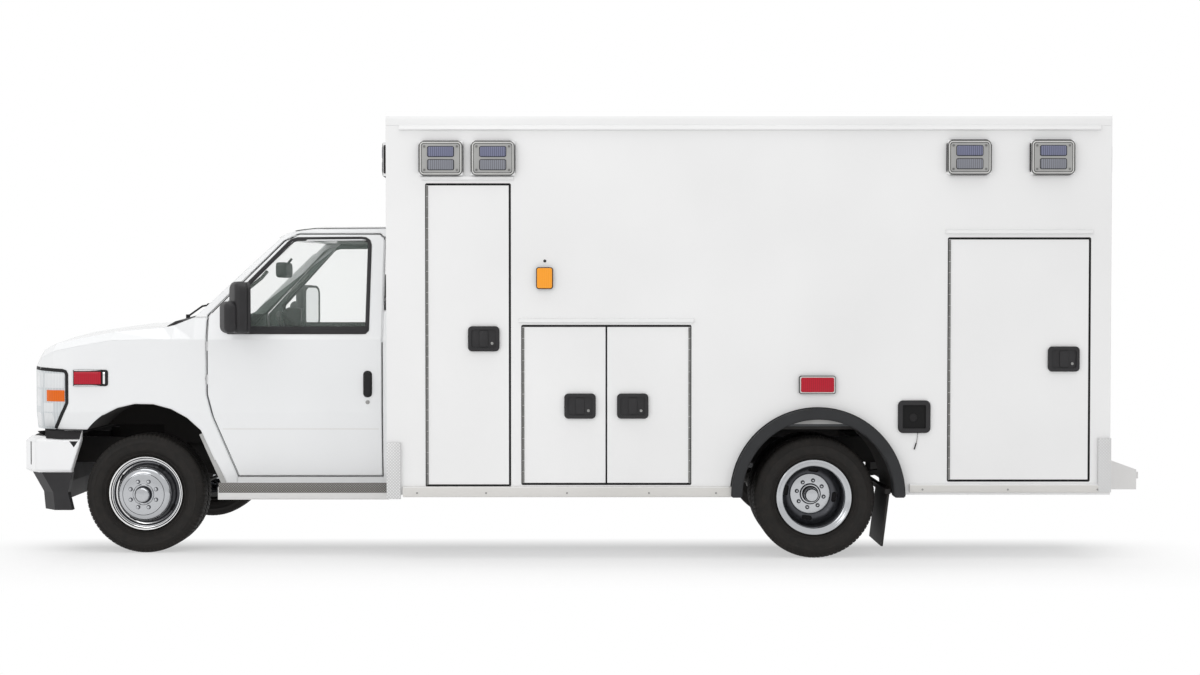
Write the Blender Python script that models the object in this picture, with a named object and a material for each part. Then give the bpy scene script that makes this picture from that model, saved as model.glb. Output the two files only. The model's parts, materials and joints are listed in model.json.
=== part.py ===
# Ambulance: a box body on a van cutaway chassis, with twin rear wheels.
# Metres. +X runs to the rear, +Y to the kerb side and +Z up, with the origin
# on the ground below the middle of the vehicle.

import math

import bpy
import bmesh
from mathutils import Matrix, Vector

for old_object in list(bpy.data.objects):
    bpy.data.objects.remove(old_object, do_unlink=True)

# Driving dimensions

WHEELBASE = 4.013
FRONT_OVERHANG = 0.81
REAR_OVERHANG = 1.738
STEP_REACH = 0.244
BODY_LENGTH = 4.264
BODY_WIDTH = 2.44
BODY_TOP = 2.638
SKIRT_HEIGHT = 0.38
CAB_LENGTH = 2.2275
CAB_HALF_WIDTH = 1.0
CAB_HEIGHT = 2.005
TYRE_RADIUS = 0.362
TYRE_WIDTH = 0.223
RIM_RADIUS = 0.2035
FRONT_TRACK = 1.763
REAR_TRACK = 1.922
TWIN_SPACING = 0.265

# Clearances and overruns

SEAT_GAP = 0.0003
JOINT_GAP = 0.006
BUSH_GAP = 0.0005
OVERRUN = 0.2
HINGE_RADIUS = 0.006

WHEEL_SIDES = 24
ROUND_SIDES = 16
PIN_SIDES = 12

# Places that follow from them

NOSE_X = -(FRONT_OVERHANG + WHEELBASE + REAR_OVERHANG + STEP_REACH) / 2
FRONT_AXLE_X = NOSE_X + FRONT_OVERHANG
REAR_AXLE_X = FRONT_AXLE_X + WHEELBASE
BODY_REAR_X = REAR_AXLE_X + REAR_OVERHANG
BODY_FRONT_X = BODY_REAR_X - BODY_LENGTH
BODY_HALF_WIDTH = BODY_WIDTH / 2
BODY_HEIGHT = BODY_TOP - SKIRT_HEIGHT
AXLE_HEIGHT = TYRE_RADIUS * math.cos(math.pi / WHEEL_SIDES)
CAB_REAR_X = BODY_FRONT_X - JOINT_GAP
CAB_FRONT_X = CAB_REAR_X - CAB_LENGTH

LEFT = -1
RIGHT = 1
SIDES = (("left", LEFT), ("right", RIGHT))


# Shapes

def mesh_object(name, points, faces):
    """A closed mesh object with its faces pointing out."""
    mesh = bpy.data.meshes.new(name)
    mesh.from_pydata(points, [], faces)
    shape = bmesh.new()
    shape.from_mesh(mesh)
    bmesh.ops.recalc_face_normals(shape, faces=shape.faces)
    shape.to_mesh(mesh)
    shape.free()
    obj = bpy.data.objects.new(name, mesh)
    bpy.context.scene.collection.objects.link(obj)
    return obj


def loft(sections):
    """A closed body through sections that all have the same number of points."""
    count = len(sections[0])
    points = [point for section in sections for point in section]
    faces = [tuple(range(count))]
    faces.append(tuple((len(sections) - 1) * count + i for i in range(count)))
    for level in range(len(sections) - 1):
        for i in range(count):
            j = (i + 1) % count
            low = level * count
            high = low + count
            faces.append((low + i, low + j, high + j, high + i))
    return mesh_object("shape", points, faces)


def curved_loft(sections):
    """A loft whose bent faces are split into triangles."""
    body = loft(sections)
    shape = bmesh.new()
    shape.from_mesh(body.data)
    bmesh.ops.triangulate(shape, faces=shape.faces, quad_method="FIXED")
    shape.to_mesh(body.data)
    shape.free()
    return body


def along_x(outline, low, high):
    """A prism of (y, z) points from one x to another."""
    return loft([[(x, y, z) for y, z in outline] for x in (low, high)])


def along_y(outline, low, high):
    """A prism of (x, z) points from one y to another."""
    return loft([[(x, y, z) for x, z in outline] for y in (low, high)])


def along_z(outline, low, high):
    """A prism of (x, y) points from one z to another."""
    return loft([[(x, y, z) for x, y in outline] for z in (low, high)])


def box(x_low, x_high, y_low, y_high, z_low, z_high):
    """A box between two corners."""
    outline = [(x_low, z_low), (x_high, z_low), (x_high, z_high), (x_low, z_high)]
    return along_y(outline, y_low, y_high)


def ring_points(centre, radius, sides, start=0):
    """Points (a, b) on a circle, counted from one angle."""
    step = 2 * math.pi / sides
    return [(centre[0] + radius * math.cos(start + step * i),
             centre[1] + radius * math.sin(start + step * i)) for i in range(sides)]


def arc_points(centre, radius, first, last, steps):
    """Points (a, b) along an arc between two angles in degrees."""
    angles = [math.radians(first + (last - first) * i / steps) for i in range(steps + 1)]
    return [(centre[0] + radius * math.cos(a), centre[1] + radius * math.sin(a))
            for a in angles]


def turned(profile, x, z, sides, mirror=RIGHT):
    """A body turned about the line along Y through (x, z).

    The profile is a closed loop of (radius, y) points. Points of radius zero
    lie at the loop's two ends and become the poles."""
    points = []
    rings = []
    start = math.pi / sides
    for radius, y in profile:
        if radius == 0:
            rings.append([len(points)] * sides)
            points.append((x, y * mirror, z))
            continue
        rings.append(list(range(len(points), len(points) + sides)))
        points += [(px, y * mirror, pz)
                   for px, pz in ring_points((x, z), radius, sides, start)]
    faces = []
    for near, far in zip(rings, rings[1:] + rings[:1]):
        for i in range(sides):
            j = (i + 1) % sides
            corners = [near[i], near[j], far[j], far[i]]
            face = [c for k, c in enumerate(corners) if c != corners[k - 1]]
            if len(face) > 2:
                faces.append(tuple(face))
    return mesh_object("shape", points, faces)


def upright(x, y, z_low, z_high, radius, sides=PIN_SIDES):
    """A vertical round bar."""
    return along_z(ring_points((x, y), radius, sides), z_low, z_high)


def crossways(x, z, y_low, y_high, radius, sides=PIN_SIDES):
    """A round bar along Y."""
    return along_y(ring_points((x, z), radius, sides, math.pi / sides), y_low, y_high)


def lengthways(y, z, x_low, x_high, radius, sides=PIN_SIDES):
    """A round bar along X."""
    return along_x(ring_points((y, z), radius, sides), x_low, x_high)


def tube(route, radius, sides):
    """A round bar that follows a list of points."""
    route = [Vector(point) for point in route]
    sections = []
    side = None
    for i, point in enumerate(route):
        ahead = route[min(i + 1, len(route) - 1)] - route[max(i - 1, 0)]
        ahead.normalize()
        if side is None:
            side = ahead.orthogonal().normalized()
        side = (side - ahead * side.dot(ahead)).normalized()
        up = ahead.cross(side)
        sections.append([tuple(point + side * a + up * b)
                         for a, b in ring_points((0, 0), radius, sides)])
    return loft(sections)


def gather(*parts):
    """Several bodies that don't touch, as one cutter or one addition."""
    shape = bmesh.new()
    for part in parts:
        shape.from_mesh(part.data)
        bpy.data.objects.remove(part, do_unlink=True)
    mesh = bpy.data.meshes.new("shape")
    shape.to_mesh(mesh)
    shape.free()
    obj = bpy.data.objects.new("shape", mesh)
    bpy.context.scene.collection.objects.link(obj)
    return obj


def copied(part):
    """A second body of the same form."""
    obj = bpy.data.objects.new("shape", part.data.copy())
    bpy.context.scene.collection.objects.link(obj)
    return obj


def both(part):
    """A body and its mirror image on the other side of the vehicle."""
    twin = copied(part)
    twin.data.transform(Matrix.Diagonal((1, -1, 1, 1)))
    twin.data.flip_normals()
    return gather(part, twin)


def combine(base, part, operation):
    """The first body with the second added, cut away or kept in common."""
    modifier = base.modifiers.new("combine", "BOOLEAN")
    modifier.operation = operation
    modifier.solver = "EXACT"
    modifier.object = part
    bpy.context.view_layer.update()
    graph = bpy.context.evaluated_depsgraph_get()
    mesh = bpy.data.meshes.new_from_object(base.evaluated_get(graph))
    base.modifiers.clear()
    base.data = mesh
    bpy.data.objects.remove(part, do_unlink=True)
    return base


def add(base, *parts):
    """The base with other bodies fused to it."""
    for part in parts:
        combine(base, part, "UNION")
    return base


def cut(base, *parts):
    """The base with other bodies cut away."""
    for part in parts:
        combine(base, part, "DIFFERENCE")
    return base


def keep(base, part):
    """What two bodies have in common."""
    return combine(base, part, "INTERSECT")


MERGE_DISTANCE = 0.00002
SHARP_ANGLE = math.radians(30)


def node(name, part, finish, origin=(0, 0, 0), parent=None):
    """Names a finished body and gives it its material, origin and parent."""
    shape = bmesh.new()
    shape.from_mesh(part.data)
    bmesh.ops.remove_doubles(shape, verts=shape.verts, dist=MERGE_DISTANCE)
    shape.to_mesh(part.data)
    shape.free()
    place = Vector(origin)
    part.data.transform(Matrix.Translation(-place))
    part.name = name
    part.data.name = name
    part.data.materials.clear()
    part.data.materials.append(finish)
    part.data.shade_smooth()
    part.data.set_sharp_from_angle(angle=SHARP_ANGLE)
    part.location = place
    if parent is not None:
        part.parent = parent
        bpy.context.view_layer.update()
        part.matrix_parent_inverse = parent.matrix_world.inverted()
    return part


def finish(name, red, green, blue, roughness, metallic=0.0):
    """A Principled material from a colour in shares of white."""
    surface = bpy.data.materials.new(name)
    surface.use_nodes = True
    shader = surface.node_tree.nodes["Principled BSDF"]
    shader.inputs["Base Color"].default_value = (red, green, blue, 1)
    shader.inputs["Roughness"].default_value = roughness
    shader.inputs["Metallic"].default_value = metallic
    return surface


WHITE_PAINT = finish("white_paint", 0.80, 0.80, 0.81, 0.3)
BLACK_PLASTIC = finish("black_plastic", 0.025, 0.025, 0.027, 0.5)
BLACK_STEEL = finish("black_steel", 0.03, 0.03, 0.03, 0.55)
BRIGHT_METAL = finish("bright_metal", 0.75, 0.75, 0.76, 0.15, 1.0)
BARE_ALUMINIUM = finish("bare_aluminium", 0.6, 0.6, 0.6, 0.35, 1.0)
TYRE_RUBBER = finish("tyre_rubber", 0.02, 0.018, 0.017, 0.8)
CLEAR_GLASS = finish("clear_glass", 0.5, 0.56, 0.55, 0.05)
LAMP_LENS = finish("lamp_lens", 0.7, 0.7, 0.72, 0.1)
GREY_TRIM = finish("grey_trim", 0.2, 0.21, 0.21, 0.6)


# Chassis frame

RAIL_OUTER_Y = 0.45
RAIL_THICKNESS = 0.05
RAIL_BOTTOM = 0.50
RAIL_HEIGHT = 0.16
RAIL_TOP = RAIL_BOTTOM + RAIL_HEIGHT
FRAME_FRONT_X = CAB_FRONT_X + 0.15
FRAME_REAR_SETBACK = 0.065
FRAME_REAR_X = BODY_REAR_X - FRAME_REAR_SETBACK
CROSSMEMBER_WIDTH = 0.1
CROSSMEMBER_HEIGHT = 0.06
CROSSMEMBER_SHARES = (0.01, 0.28, 0.45, 0.62, 0.80, 0.87, 0.97)
MOUNT_LENGTH = 0.1
CAB_MOUNT_SHARES = (0.19, 0.32)
BODY_MOUNT_SHARES = (0.37, 0.52, 0.65, 0.83, 0.97)
CAB_FLOOR_BOTTOM = 0.68
BODY_FLOOR_BOTTOM = 0.78
ENGINE_MEMBER_X = FRONT_AXLE_X - 0.2
SPRING_Y = 0.535
SPRING_WIDTH = 0.07
SPRING_HALF_LENGTH = 0.58
SPRING_THICKNESS = 0.035
SPRING_END_HEIGHT = RAIL_BOTTOM - 0.035
HANGER_LENGTH = 0.08
COIL_Y = 0.58
COIL_RADIUS = 0.05
TOWER_HALF_LENGTH = 0.07
TOWER_THICKNESS = 0.04
TOWER_BOTTOM = RAIL_BOTTOM + CROSSMEMBER_HEIGHT
FLAP_TOP_X = REAR_AXLE_X + 0.435
FLAP_BOTTOM_X = REAR_AXLE_X + 0.395
FLAP_THICKNESS = 0.012
FLAP_TOP = 0.395
FLAP_BOTTOM = 0.07
FLAP_INNER_Y = 0.74
FLAP_OUTER_Y = 1.19
FLAP_BAR = 0.03


def frame_x(share):
    """A place along the frame."""
    return FRAME_FRONT_X + (FRAME_REAR_X - FRAME_FRONT_X) * share


def rail_block(x, length, y_low, y_high, z_low, z_high):
    """A block of one length about a place along the frame, on both sides."""
    return both(box(x - length / 2, x + length / 2, y_low, y_high, z_low, z_high))


def make_chassis_frame():
    """Two rails with their crossmembers, body mounts, hangers and mud flaps."""
    rail_inner_y = RAIL_OUTER_Y - RAIL_THICKNESS
    middle_y = RAIL_OUTER_Y - RAIL_THICKNESS / 2
    frame = both(box(FRAME_FRONT_X, FRAME_REAR_X, rail_inner_y, RAIL_OUTER_Y,
                     RAIL_BOTTOM, RAIL_TOP))
    members = [box(frame_x(share) - CROSSMEMBER_WIDTH / 2,
                   frame_x(share) + CROSSMEMBER_WIDTH / 2,
                   -middle_y, middle_y, RAIL_TOP - CROSSMEMBER_HEIGHT,
                   RAIL_TOP - RAIL_THICKNESS / 2)
               for share in CROSSMEMBER_SHARES[1:]]
    members.append(box(FRAME_FRONT_X, FRAME_FRONT_X + CROSSMEMBER_WIDTH,
                       -middle_y, middle_y, RAIL_BOTTOM, TOWER_BOTTOM))
    members.append(box(ENGINE_MEMBER_X - CROSSMEMBER_WIDTH / 2,
                       ENGINE_MEMBER_X + CROSSMEMBER_WIDTH / 2,
                       -middle_y, middle_y, RAIL_BOTTOM, TOWER_BOTTOM))
    add(frame, gather(*members))
    pads = [rail_block(frame_x(share), MOUNT_LENGTH, rail_inner_y, RAIL_OUTER_Y,
                       RAIL_TOP - RAIL_THICKNESS, CAB_FLOOR_BOTTOM - SEAT_GAP)
            for share in CAB_MOUNT_SHARES]
    pads += [rail_block(frame_x(share), MOUNT_LENGTH, rail_inner_y, RAIL_OUTER_Y,
                        RAIL_TOP - RAIL_THICKNESS, BODY_FLOOR_BOTTOM - SEAT_GAP)
             for share in BODY_MOUNT_SHARES]
    pads += [rail_block(REAR_AXLE_X + end * SPRING_HALF_LENGTH, HANGER_LENGTH, middle_y,
                        SPRING_Y + SPRING_WIDTH / 2,
                        SPRING_END_HEIGHT + SPRING_THICKNESS / 2 + SEAT_GAP,
                        RAIL_TOP - CROSSMEMBER_HEIGHT) for end in (-1, 1)]
    pads.append(rail_block(FRONT_AXLE_X, 2 * TOWER_HALF_LENGTH, middle_y,
                           COIL_Y + COIL_RADIUS, TOWER_BOTTOM,
                           TOWER_BOTTOM + TOWER_THICKNESS))
    add(frame, gather(*pads))
    bar = both(box(FLAP_TOP_X - FLAP_BAR / 2, FLAP_TOP_X + FLAP_BAR / 2, middle_y,
                   FLAP_OUTER_Y, FLAP_TOP - FLAP_BAR / 2, FLAP_TOP + FLAP_BAR / 2))
    post = both(box(FLAP_TOP_X - FLAP_BAR / 2, FLAP_TOP_X + FLAP_BAR / 2, middle_y - FLAP_BAR / 4,
                    middle_y + FLAP_BAR / 2, FLAP_TOP - FLAP_BAR / 4,
                    RAIL_BOTTOM + RAIL_HEIGHT / 4))
    flap_outline = [(FLAP_TOP_X, FLAP_TOP), (FLAP_BOTTOM_X, FLAP_BOTTOM),
                    (FLAP_BOTTOM_X + FLAP_THICKNESS, FLAP_BOTTOM),
                    (FLAP_TOP_X + FLAP_THICKNESS, FLAP_TOP)]
    flap = both(along_y(flap_outline, FLAP_INNER_Y, FLAP_OUTER_Y - FLAP_BAR / 4))
    add(bar, post, flap)
    add(frame, bar)
    return node("chassis_frame", frame, BLACK_STEEL)


# Engine, exhaust and fuel tank

ENGINE_HALF_WIDTH = 0.27
ENGINE_FRONT_X = FRONT_AXLE_X - 0.35
ENGINE_REAR_X = FRONT_AXLE_X + 0.14
ENGINE_HEIGHT = 0.58
GEARBOX_HALF_WIDTH = 0.16
GEARBOX_LENGTH = 0.7
GEARBOX_DEPTH = 0.1
SHAFT_RADIUS = 0.04
TANK_FRONT_X = REAR_AXLE_X + 0.55
TANK_REAR_X = REAR_AXLE_X + 1.4
TANK_HALF_WIDTH = 0.37
TANK_BOTTOM = 0.37
TANK_BEVEL = 0.05
PIPE_RADIUS = 0.035
MUFFLER_RADIUS = 0.1
MUFFLER_LENGTH = 0.8
PIPE_Y = 0.58
PIPE_HEIGHT = 0.46
PIPE_END_X = REAR_AXLE_X - 0.56
PIPE_END_Y = 1.12
PIPE_END_HEIGHT = 0.34


def make_engine():
    """The engine and gearbox as one plain block on its crossmember."""
    bottom = TOWER_BOTTOM + SEAT_GAP
    engine = box(ENGINE_FRONT_X, ENGINE_REAR_X, -ENGINE_HALF_WIDTH, ENGINE_HALF_WIDTH,
                 bottom, bottom + ENGINE_HEIGHT)
    gearbox = box(ENGINE_REAR_X - GEARBOX_DEPTH, ENGINE_REAR_X + GEARBOX_LENGTH,
                  -GEARBOX_HALF_WIDTH, GEARBOX_HALF_WIDTH, RAIL_BOTTOM - GEARBOX_DEPTH,
                  RAIL_TOP - GEARBOX_DEPTH / 2)
    return node("engine", add(engine, gearbox), BLACK_STEEL)


def make_fuel_tank():
    """The tank between the rails behind the rear axle, hung from two crossmembers."""
    top = RAIL_TOP - CROSSMEMBER_HEIGHT - SEAT_GAP
    section = [(-TANK_HALF_WIDTH, TANK_BOTTOM + TANK_BEVEL),
               (-TANK_HALF_WIDTH + TANK_BEVEL, TANK_BOTTOM),
               (TANK_HALF_WIDTH - TANK_BEVEL, TANK_BOTTOM),
               (TANK_HALF_WIDTH, TANK_BOTTOM + TANK_BEVEL),
               (TANK_HALF_WIDTH, top), (-TANK_HALF_WIDTH, top)]
    return node("fuel_tank", along_x(section, TANK_FRONT_X, TANK_REAR_X), BLACK_PLASTIC)


def make_exhaust():
    """The muffler beside the kerb-side rail, with its pipe to the skirt."""
    muffler_x = PIPE_END_X - MUFFLER_LENGTH * 1.5
    start = (ENGINE_REAR_X + GEARBOX_LENGTH * 1.2, PIPE_Y, PIPE_HEIGHT)
    route = [start, (muffler_x, PIPE_Y, PIPE_HEIGHT),
             (PIPE_END_X - 4 * PIPE_RADIUS, PIPE_Y, PIPE_HEIGHT),
             (PIPE_END_X - PIPE_RADIUS, PIPE_Y + 4 * PIPE_RADIUS, PIPE_END_HEIGHT),
             (PIPE_END_X, PIPE_END_Y, PIPE_END_HEIGHT)]
    pipe = tube(route, PIPE_RADIUS, PIN_SIDES)
    muffler = lengthways(PIPE_Y, PIPE_HEIGHT, muffler_x, muffler_x + MUFFLER_LENGTH,
                         MUFFLER_RADIUS, ROUND_SIDES)
    hanger = box(muffler_x, muffler_x + PIPE_RADIUS, RAIL_OUTER_Y + SEAT_GAP, PIPE_Y,
                 RAIL_TOP - MUFFLER_RADIUS, RAIL_TOP - PIPE_RADIUS)
    strap = box(muffler_x, muffler_x + PIPE_RADIUS, PIPE_Y - PIPE_RADIUS, PIPE_Y,
                PIPE_HEIGHT, RAIL_TOP - PIPE_RADIUS)
    return node("exhaust", add(pipe, muffler, strap, hanger), BLACK_STEEL)


# Axles and steering

KINGPIN_OFFSET = 0.0515
KINGPIN_Y = FRONT_TRACK / 2 - KINGPIN_OFFSET
KINGPIN_RADIUS = 0.012
EYE_RADIUS = 0.035
EYE_HALF_HEIGHT = 0.045
EAR_THICKNESS = 0.022
FORK_REACH = 0.045
FORK_WEB = 0.025
BEAM_HALF_LENGTH = 0.035
BEAM_HALF_HEIGHT = 0.04
BEAM_DROP = 0.05
BEAM_END_Y = KINGPIN_Y - 0.015
BEAM_RISE_Y = 0.70
BEAM_FLAT_Y = 0.62
SPINDLE_RADIUS = 0.03
SPINDLE_END = 0.113
ARM_LENGTH = 0.12
ARM_HALF_WIDTH = 0.015
BALL_PIN_RADIUS = 0.008
ROD_EYE_RADIUS = 0.02
ROD_EYE_HEIGHT = 0.025
ROD_RADIUS = 0.011
REAR_TUBE_RADIUS = 0.06
REAR_TUBE_END = 0.1
REAR_SPINDLE_RADIUS = 0.036
REAR_SPINDLE_END = 0.023
DIFF_RADIUS = 0.17
DIFF_HALF_WIDTH = 0.12
DIFF_NOSE_LENGTH = 0.3


def hole_radius(radius, sides, gap=BUSH_GAP):
    """The corner radius of a hole whose flats clear a round bar by a gap."""
    return (radius + gap) / math.cos(math.pi / sides)


def make_front_axle():
    """The dropped beam with its kingpin eyes and coil springs."""
    low = AXLE_HEIGHT - BEAM_HALF_HEIGHT
    high = AXLE_HEIGHT + BEAM_HALF_HEIGHT
    half = [(BEAM_FLAT_Y, low - BEAM_DROP), (BEAM_RISE_Y, low), (BEAM_END_Y, low)]
    top = [(BEAM_END_Y, high), (BEAM_RISE_Y, high), (BEAM_FLAT_Y, high - BEAM_DROP)]
    right_side = half + top
    left_side = [(-y, z) for y, z in reversed(right_side)]
    axle = along_x(right_side + left_side, FRONT_AXLE_X - BEAM_HALF_LENGTH,
                   FRONT_AXLE_X + BEAM_HALF_LENGTH)
    eyes = both(upright(FRONT_AXLE_X, KINGPIN_Y, AXLE_HEIGHT - EYE_HALF_HEIGHT,
                        AXLE_HEIGHT + EYE_HALF_HEIGHT, EYE_RADIUS, ROUND_SIDES))
    coils = both(upright(FRONT_AXLE_X, COIL_Y, AXLE_HEIGHT - BEAM_HALF_HEIGHT,
                         TOWER_BOTTOM - SEAT_GAP, COIL_RADIUS, ROUND_SIDES))
    add(axle, eyes, coils)
    holes = both(upright(FRONT_AXLE_X, KINGPIN_Y, 0, BODY_TOP,
                         hole_radius(KINGPIN_RADIUS, PIN_SIDES)))
    return node("front_axle", cut(axle, holes), BLACK_STEEL)


def make_knuckle(side_name, side):
    """A forked knuckle with its kingpin, spindle and steering arm."""
    ear_top = AXLE_HEIGHT + EYE_HALF_HEIGHT + SEAT_GAP + EAR_THICKNESS
    ear_bottom = 2 * AXLE_HEIGHT - ear_top
    web_y = KINGPIN_Y + FORK_REACH
    block = box(FRONT_AXLE_X - EYE_RADIUS, FRONT_AXLE_X + EYE_RADIUS, KINGPIN_Y - EYE_RADIUS,
                web_y + FORK_WEB, ear_bottom, ear_top)
    slot = box(FRONT_AXLE_X - OVERRUN, FRONT_AXLE_X + OVERRUN, KINGPIN_Y - OVERRUN, web_y,
               ear_bottom + EAR_THICKNESS, ear_top - EAR_THICKNESS)
    cut(block, slot)
    pin = upright(FRONT_AXLE_X, KINGPIN_Y, ear_bottom + EAR_THICKNESS / 2,
                  ear_top - EAR_THICKNESS / 2, KINGPIN_RADIUS)
    spindle = crossways(FRONT_AXLE_X, AXLE_HEIGHT, web_y + FORK_WEB / 2,
                        FRONT_TRACK / 2 + SPINDLE_END, SPINDLE_RADIUS)
    arm_x = FRONT_AXLE_X + ARM_LENGTH
    arm = box(FRONT_AXLE_X, arm_x + ARM_HALF_WIDTH, KINGPIN_Y - ARM_HALF_WIDTH,
              KINGPIN_Y + ARM_HALF_WIDTH, ear_bottom + EAR_THICKNESS / 4,
              ear_bottom + EAR_THICKNESS * 3 / 4)
    ball_pin = upright(arm_x, KINGPIN_Y, ear_bottom + EAR_THICKNESS / 2,
                       rod_bottom() + ROD_EYE_HEIGHT, BALL_PIN_RADIUS)
    add(block, pin, spindle, arm, ball_pin)
    if side == LEFT:
        block.data.transform(Matrix.Diagonal((1, -1, 1, 1)))
        block.data.flip_normals()
    return node("knuckle_" + side_name, block, BLACK_STEEL,
                (FRONT_AXLE_X, side * KINGPIN_Y, AXLE_HEIGHT))


def rod_bottom():
    """The lower face of the tie rod's eyes, on the steering arms."""
    ear_bottom = AXLE_HEIGHT - EYE_HALF_HEIGHT - SEAT_GAP - EAR_THICKNESS
    return ear_bottom + EAR_THICKNESS * 3 / 4 + SEAT_GAP


def make_tie_rod(knuckle):
    """The rod between both steering arms, hinged on the left arm."""
    x = FRONT_AXLE_X + ARM_LENGTH
    low = rod_bottom()
    rod = crossways(x, low + ROD_EYE_HEIGHT / 2, -KINGPIN_Y + ROD_EYE_RADIUS / 2,
                    KINGPIN_Y - ROD_EYE_RADIUS / 2, ROD_RADIUS)
    eyes = both(upright(x, KINGPIN_Y, low, low + ROD_EYE_HEIGHT, ROD_EYE_RADIUS))
    add(rod, eyes)
    holes = both(upright(x, KINGPIN_Y, 0, BODY_TOP, hole_radius(BALL_PIN_RADIUS, PIN_SIDES)))
    return node("tie_rod", cut(rod, holes), BLACK_STEEL, (x, -KINGPIN_Y, low), knuckle)


def make_rear_axle():
    """The axle tube with its differential, leaf springs and propshaft."""
    tube_end = REAR_TRACK / 2 - REAR_TUBE_END
    axle = crossways(REAR_AXLE_X, AXLE_HEIGHT, -tube_end, tube_end, REAR_TUBE_RADIUS,
                     ROUND_SIDES)
    ends = REAR_TRACK / 2 - REAR_SPINDLE_END
    spindle = both(crossways(REAR_AXLE_X, AXLE_HEIGHT, tube_end - REAR_TUBE_RADIUS, ends,
                             REAR_SPINDLE_RADIUS))
    diff = crossways(REAR_AXLE_X, AXLE_HEIGHT, -DIFF_HALF_WIDTH, DIFF_HALF_WIDTH,
                     DIFF_RADIUS, ROUND_SIDES)
    nose = lengthways(0, AXLE_HEIGHT, REAR_AXLE_X - DIFF_NOSE_LENGTH, REAR_AXLE_X,
                      REAR_TUBE_RADIUS)
    gearbox_end = (ENGINE_REAR_X + GEARBOX_LENGTH + SEAT_GAP, 0,
                   RAIL_BOTTOM - GEARBOX_DEPTH / 4)
    shaft = tube([gearbox_end, (gearbox_end[0] + SHAFT_RADIUS, 0, gearbox_end[2]),
                  (REAR_AXLE_X - DIFF_NOSE_LENGTH + SHAFT_RADIUS, 0, AXLE_HEIGHT)],
                 SHAFT_RADIUS, PIN_SIDES)
    middle = AXLE_HEIGHT + REAR_TUBE_RADIUS
    half = SPRING_HALF_LENGTH + HANGER_LENGTH / 2
    rise = SPRING_THICKNESS / 2
    lower = [(REAR_AXLE_X - half, SPRING_END_HEIGHT - rise),
             (REAR_AXLE_X - SPRING_HALF_LENGTH / 2, middle - rise / 2),
             (REAR_AXLE_X - REAR_TUBE_RADIUS, middle - SPRING_THICKNESS),
             (REAR_AXLE_X + REAR_TUBE_RADIUS, middle - SPRING_THICKNESS),
             (REAR_AXLE_X + SPRING_HALF_LENGTH / 2, middle - rise / 2),
             (REAR_AXLE_X + half, SPRING_END_HEIGHT - rise)]
    upper = [(REAR_AXLE_X + half, SPRING_END_HEIGHT + rise),
             (REAR_AXLE_X + SPRING_HALF_LENGTH / 2, middle + rise),
             (REAR_AXLE_X - SPRING_HALF_LENGTH / 2, middle + rise),
             (REAR_AXLE_X - half, SPRING_END_HEIGHT + rise)]
    leaves = both(along_y(lower + upper, SPRING_Y - SPRING_WIDTH / 2,
                          SPRING_Y + SPRING_WIDTH / 2))
    return node("rear_axle", add(axle, spindle, diff, nose, shaft, leaves), BLACK_STEEL)


# Wheels and tyres

RIM_HALF_WIDTH = 0.085
RIM_LIP = 0.021
LIP_THICKNESS = 0.006
LIP_RADIUS = RIM_RADIUS + RIM_LIP
BEAD_HALF_WIDTH = 0.0735
BEAD_GAP = 0.001
HUB_RADIUS = 0.06
HUB_INNER = 0.03
REAR_HUB_RADIUS = 0.08
REAR_HUB_DEPTH = 0.09
HAND_HOLE_RADIUS = 0.144
HAND_HOLE_LENGTH = 0.07
HAND_HOLE_HEIGHT = 0.03
HAND_HOLE_COUNT = 4

# Columns: radius as a share of the rim's, distance out of its middle as a
# share of half its width, from the hub cap to the outer lip and back inside.
FRONT_DISC_OUTER_SHARES = ((0.00, 2.18), (0.177, 2.18), (0.216, 2.02), (0.216, 1.65),
                           (0.604, 1.65), (0.771, 1.35), (0.875, 0.53), (0.953, 0.90))
FRONT_DISC_INNER_SHARES = ((0.953, -0.90), (0.909, 0.12), (0.811, 0.41), (0.713, 1.27),
                           (0.580, 1.50), (0.295, 1.50))
REAR_DISC_OUTER_SHARES = ((0.00, 1.35), (0.177, 1.35), (0.216, 1.18), (0.216, 0.24),
                          (0.604, 0.14), (0.786, 0.35), (0.909, 0.76), (0.934, 2.44))
REAR_DISC_MIDDLE_SHARES = ((0.963, 0.59), (0.835, 0.06), (0.835, -0.06), (0.963, -0.59))
REAR_DISC_INNER_SHARES = ((0.934, -2.44), (0.909, -0.76), (0.786, -0.35), (0.604, -0.14),
                          (0.393, -0.14))
# Columns: share of the way from the lip to the tread, share of half the width.
TYRE_SIDE_SHARES = ((0.36, 1.00), (0.84, 0.93), (1.00, 0.76))


def rim_place(shares, centre):
    """Profile points from shares of the rim's radius and half width."""
    return [(radius * RIM_RADIUS, centre + place * RIM_HALF_WIDTH)
            for radius, place in shares]


def rim_edge(centre):
    """The rim's tyre side, from its outer lip to its inner lip."""
    inside = RIM_HALF_WIDTH - LIP_THICKNESS
    return [(LIP_RADIUS, centre + RIM_HALF_WIDTH), (LIP_RADIUS, centre + inside),
            (RIM_RADIUS, centre + BEAD_HALF_WIDTH), (RIM_RADIUS, centre - BEAD_HALF_WIDTH),
            (LIP_RADIUS, centre - inside), (LIP_RADIUS, centre - RIM_HALF_WIDTH)]


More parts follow.
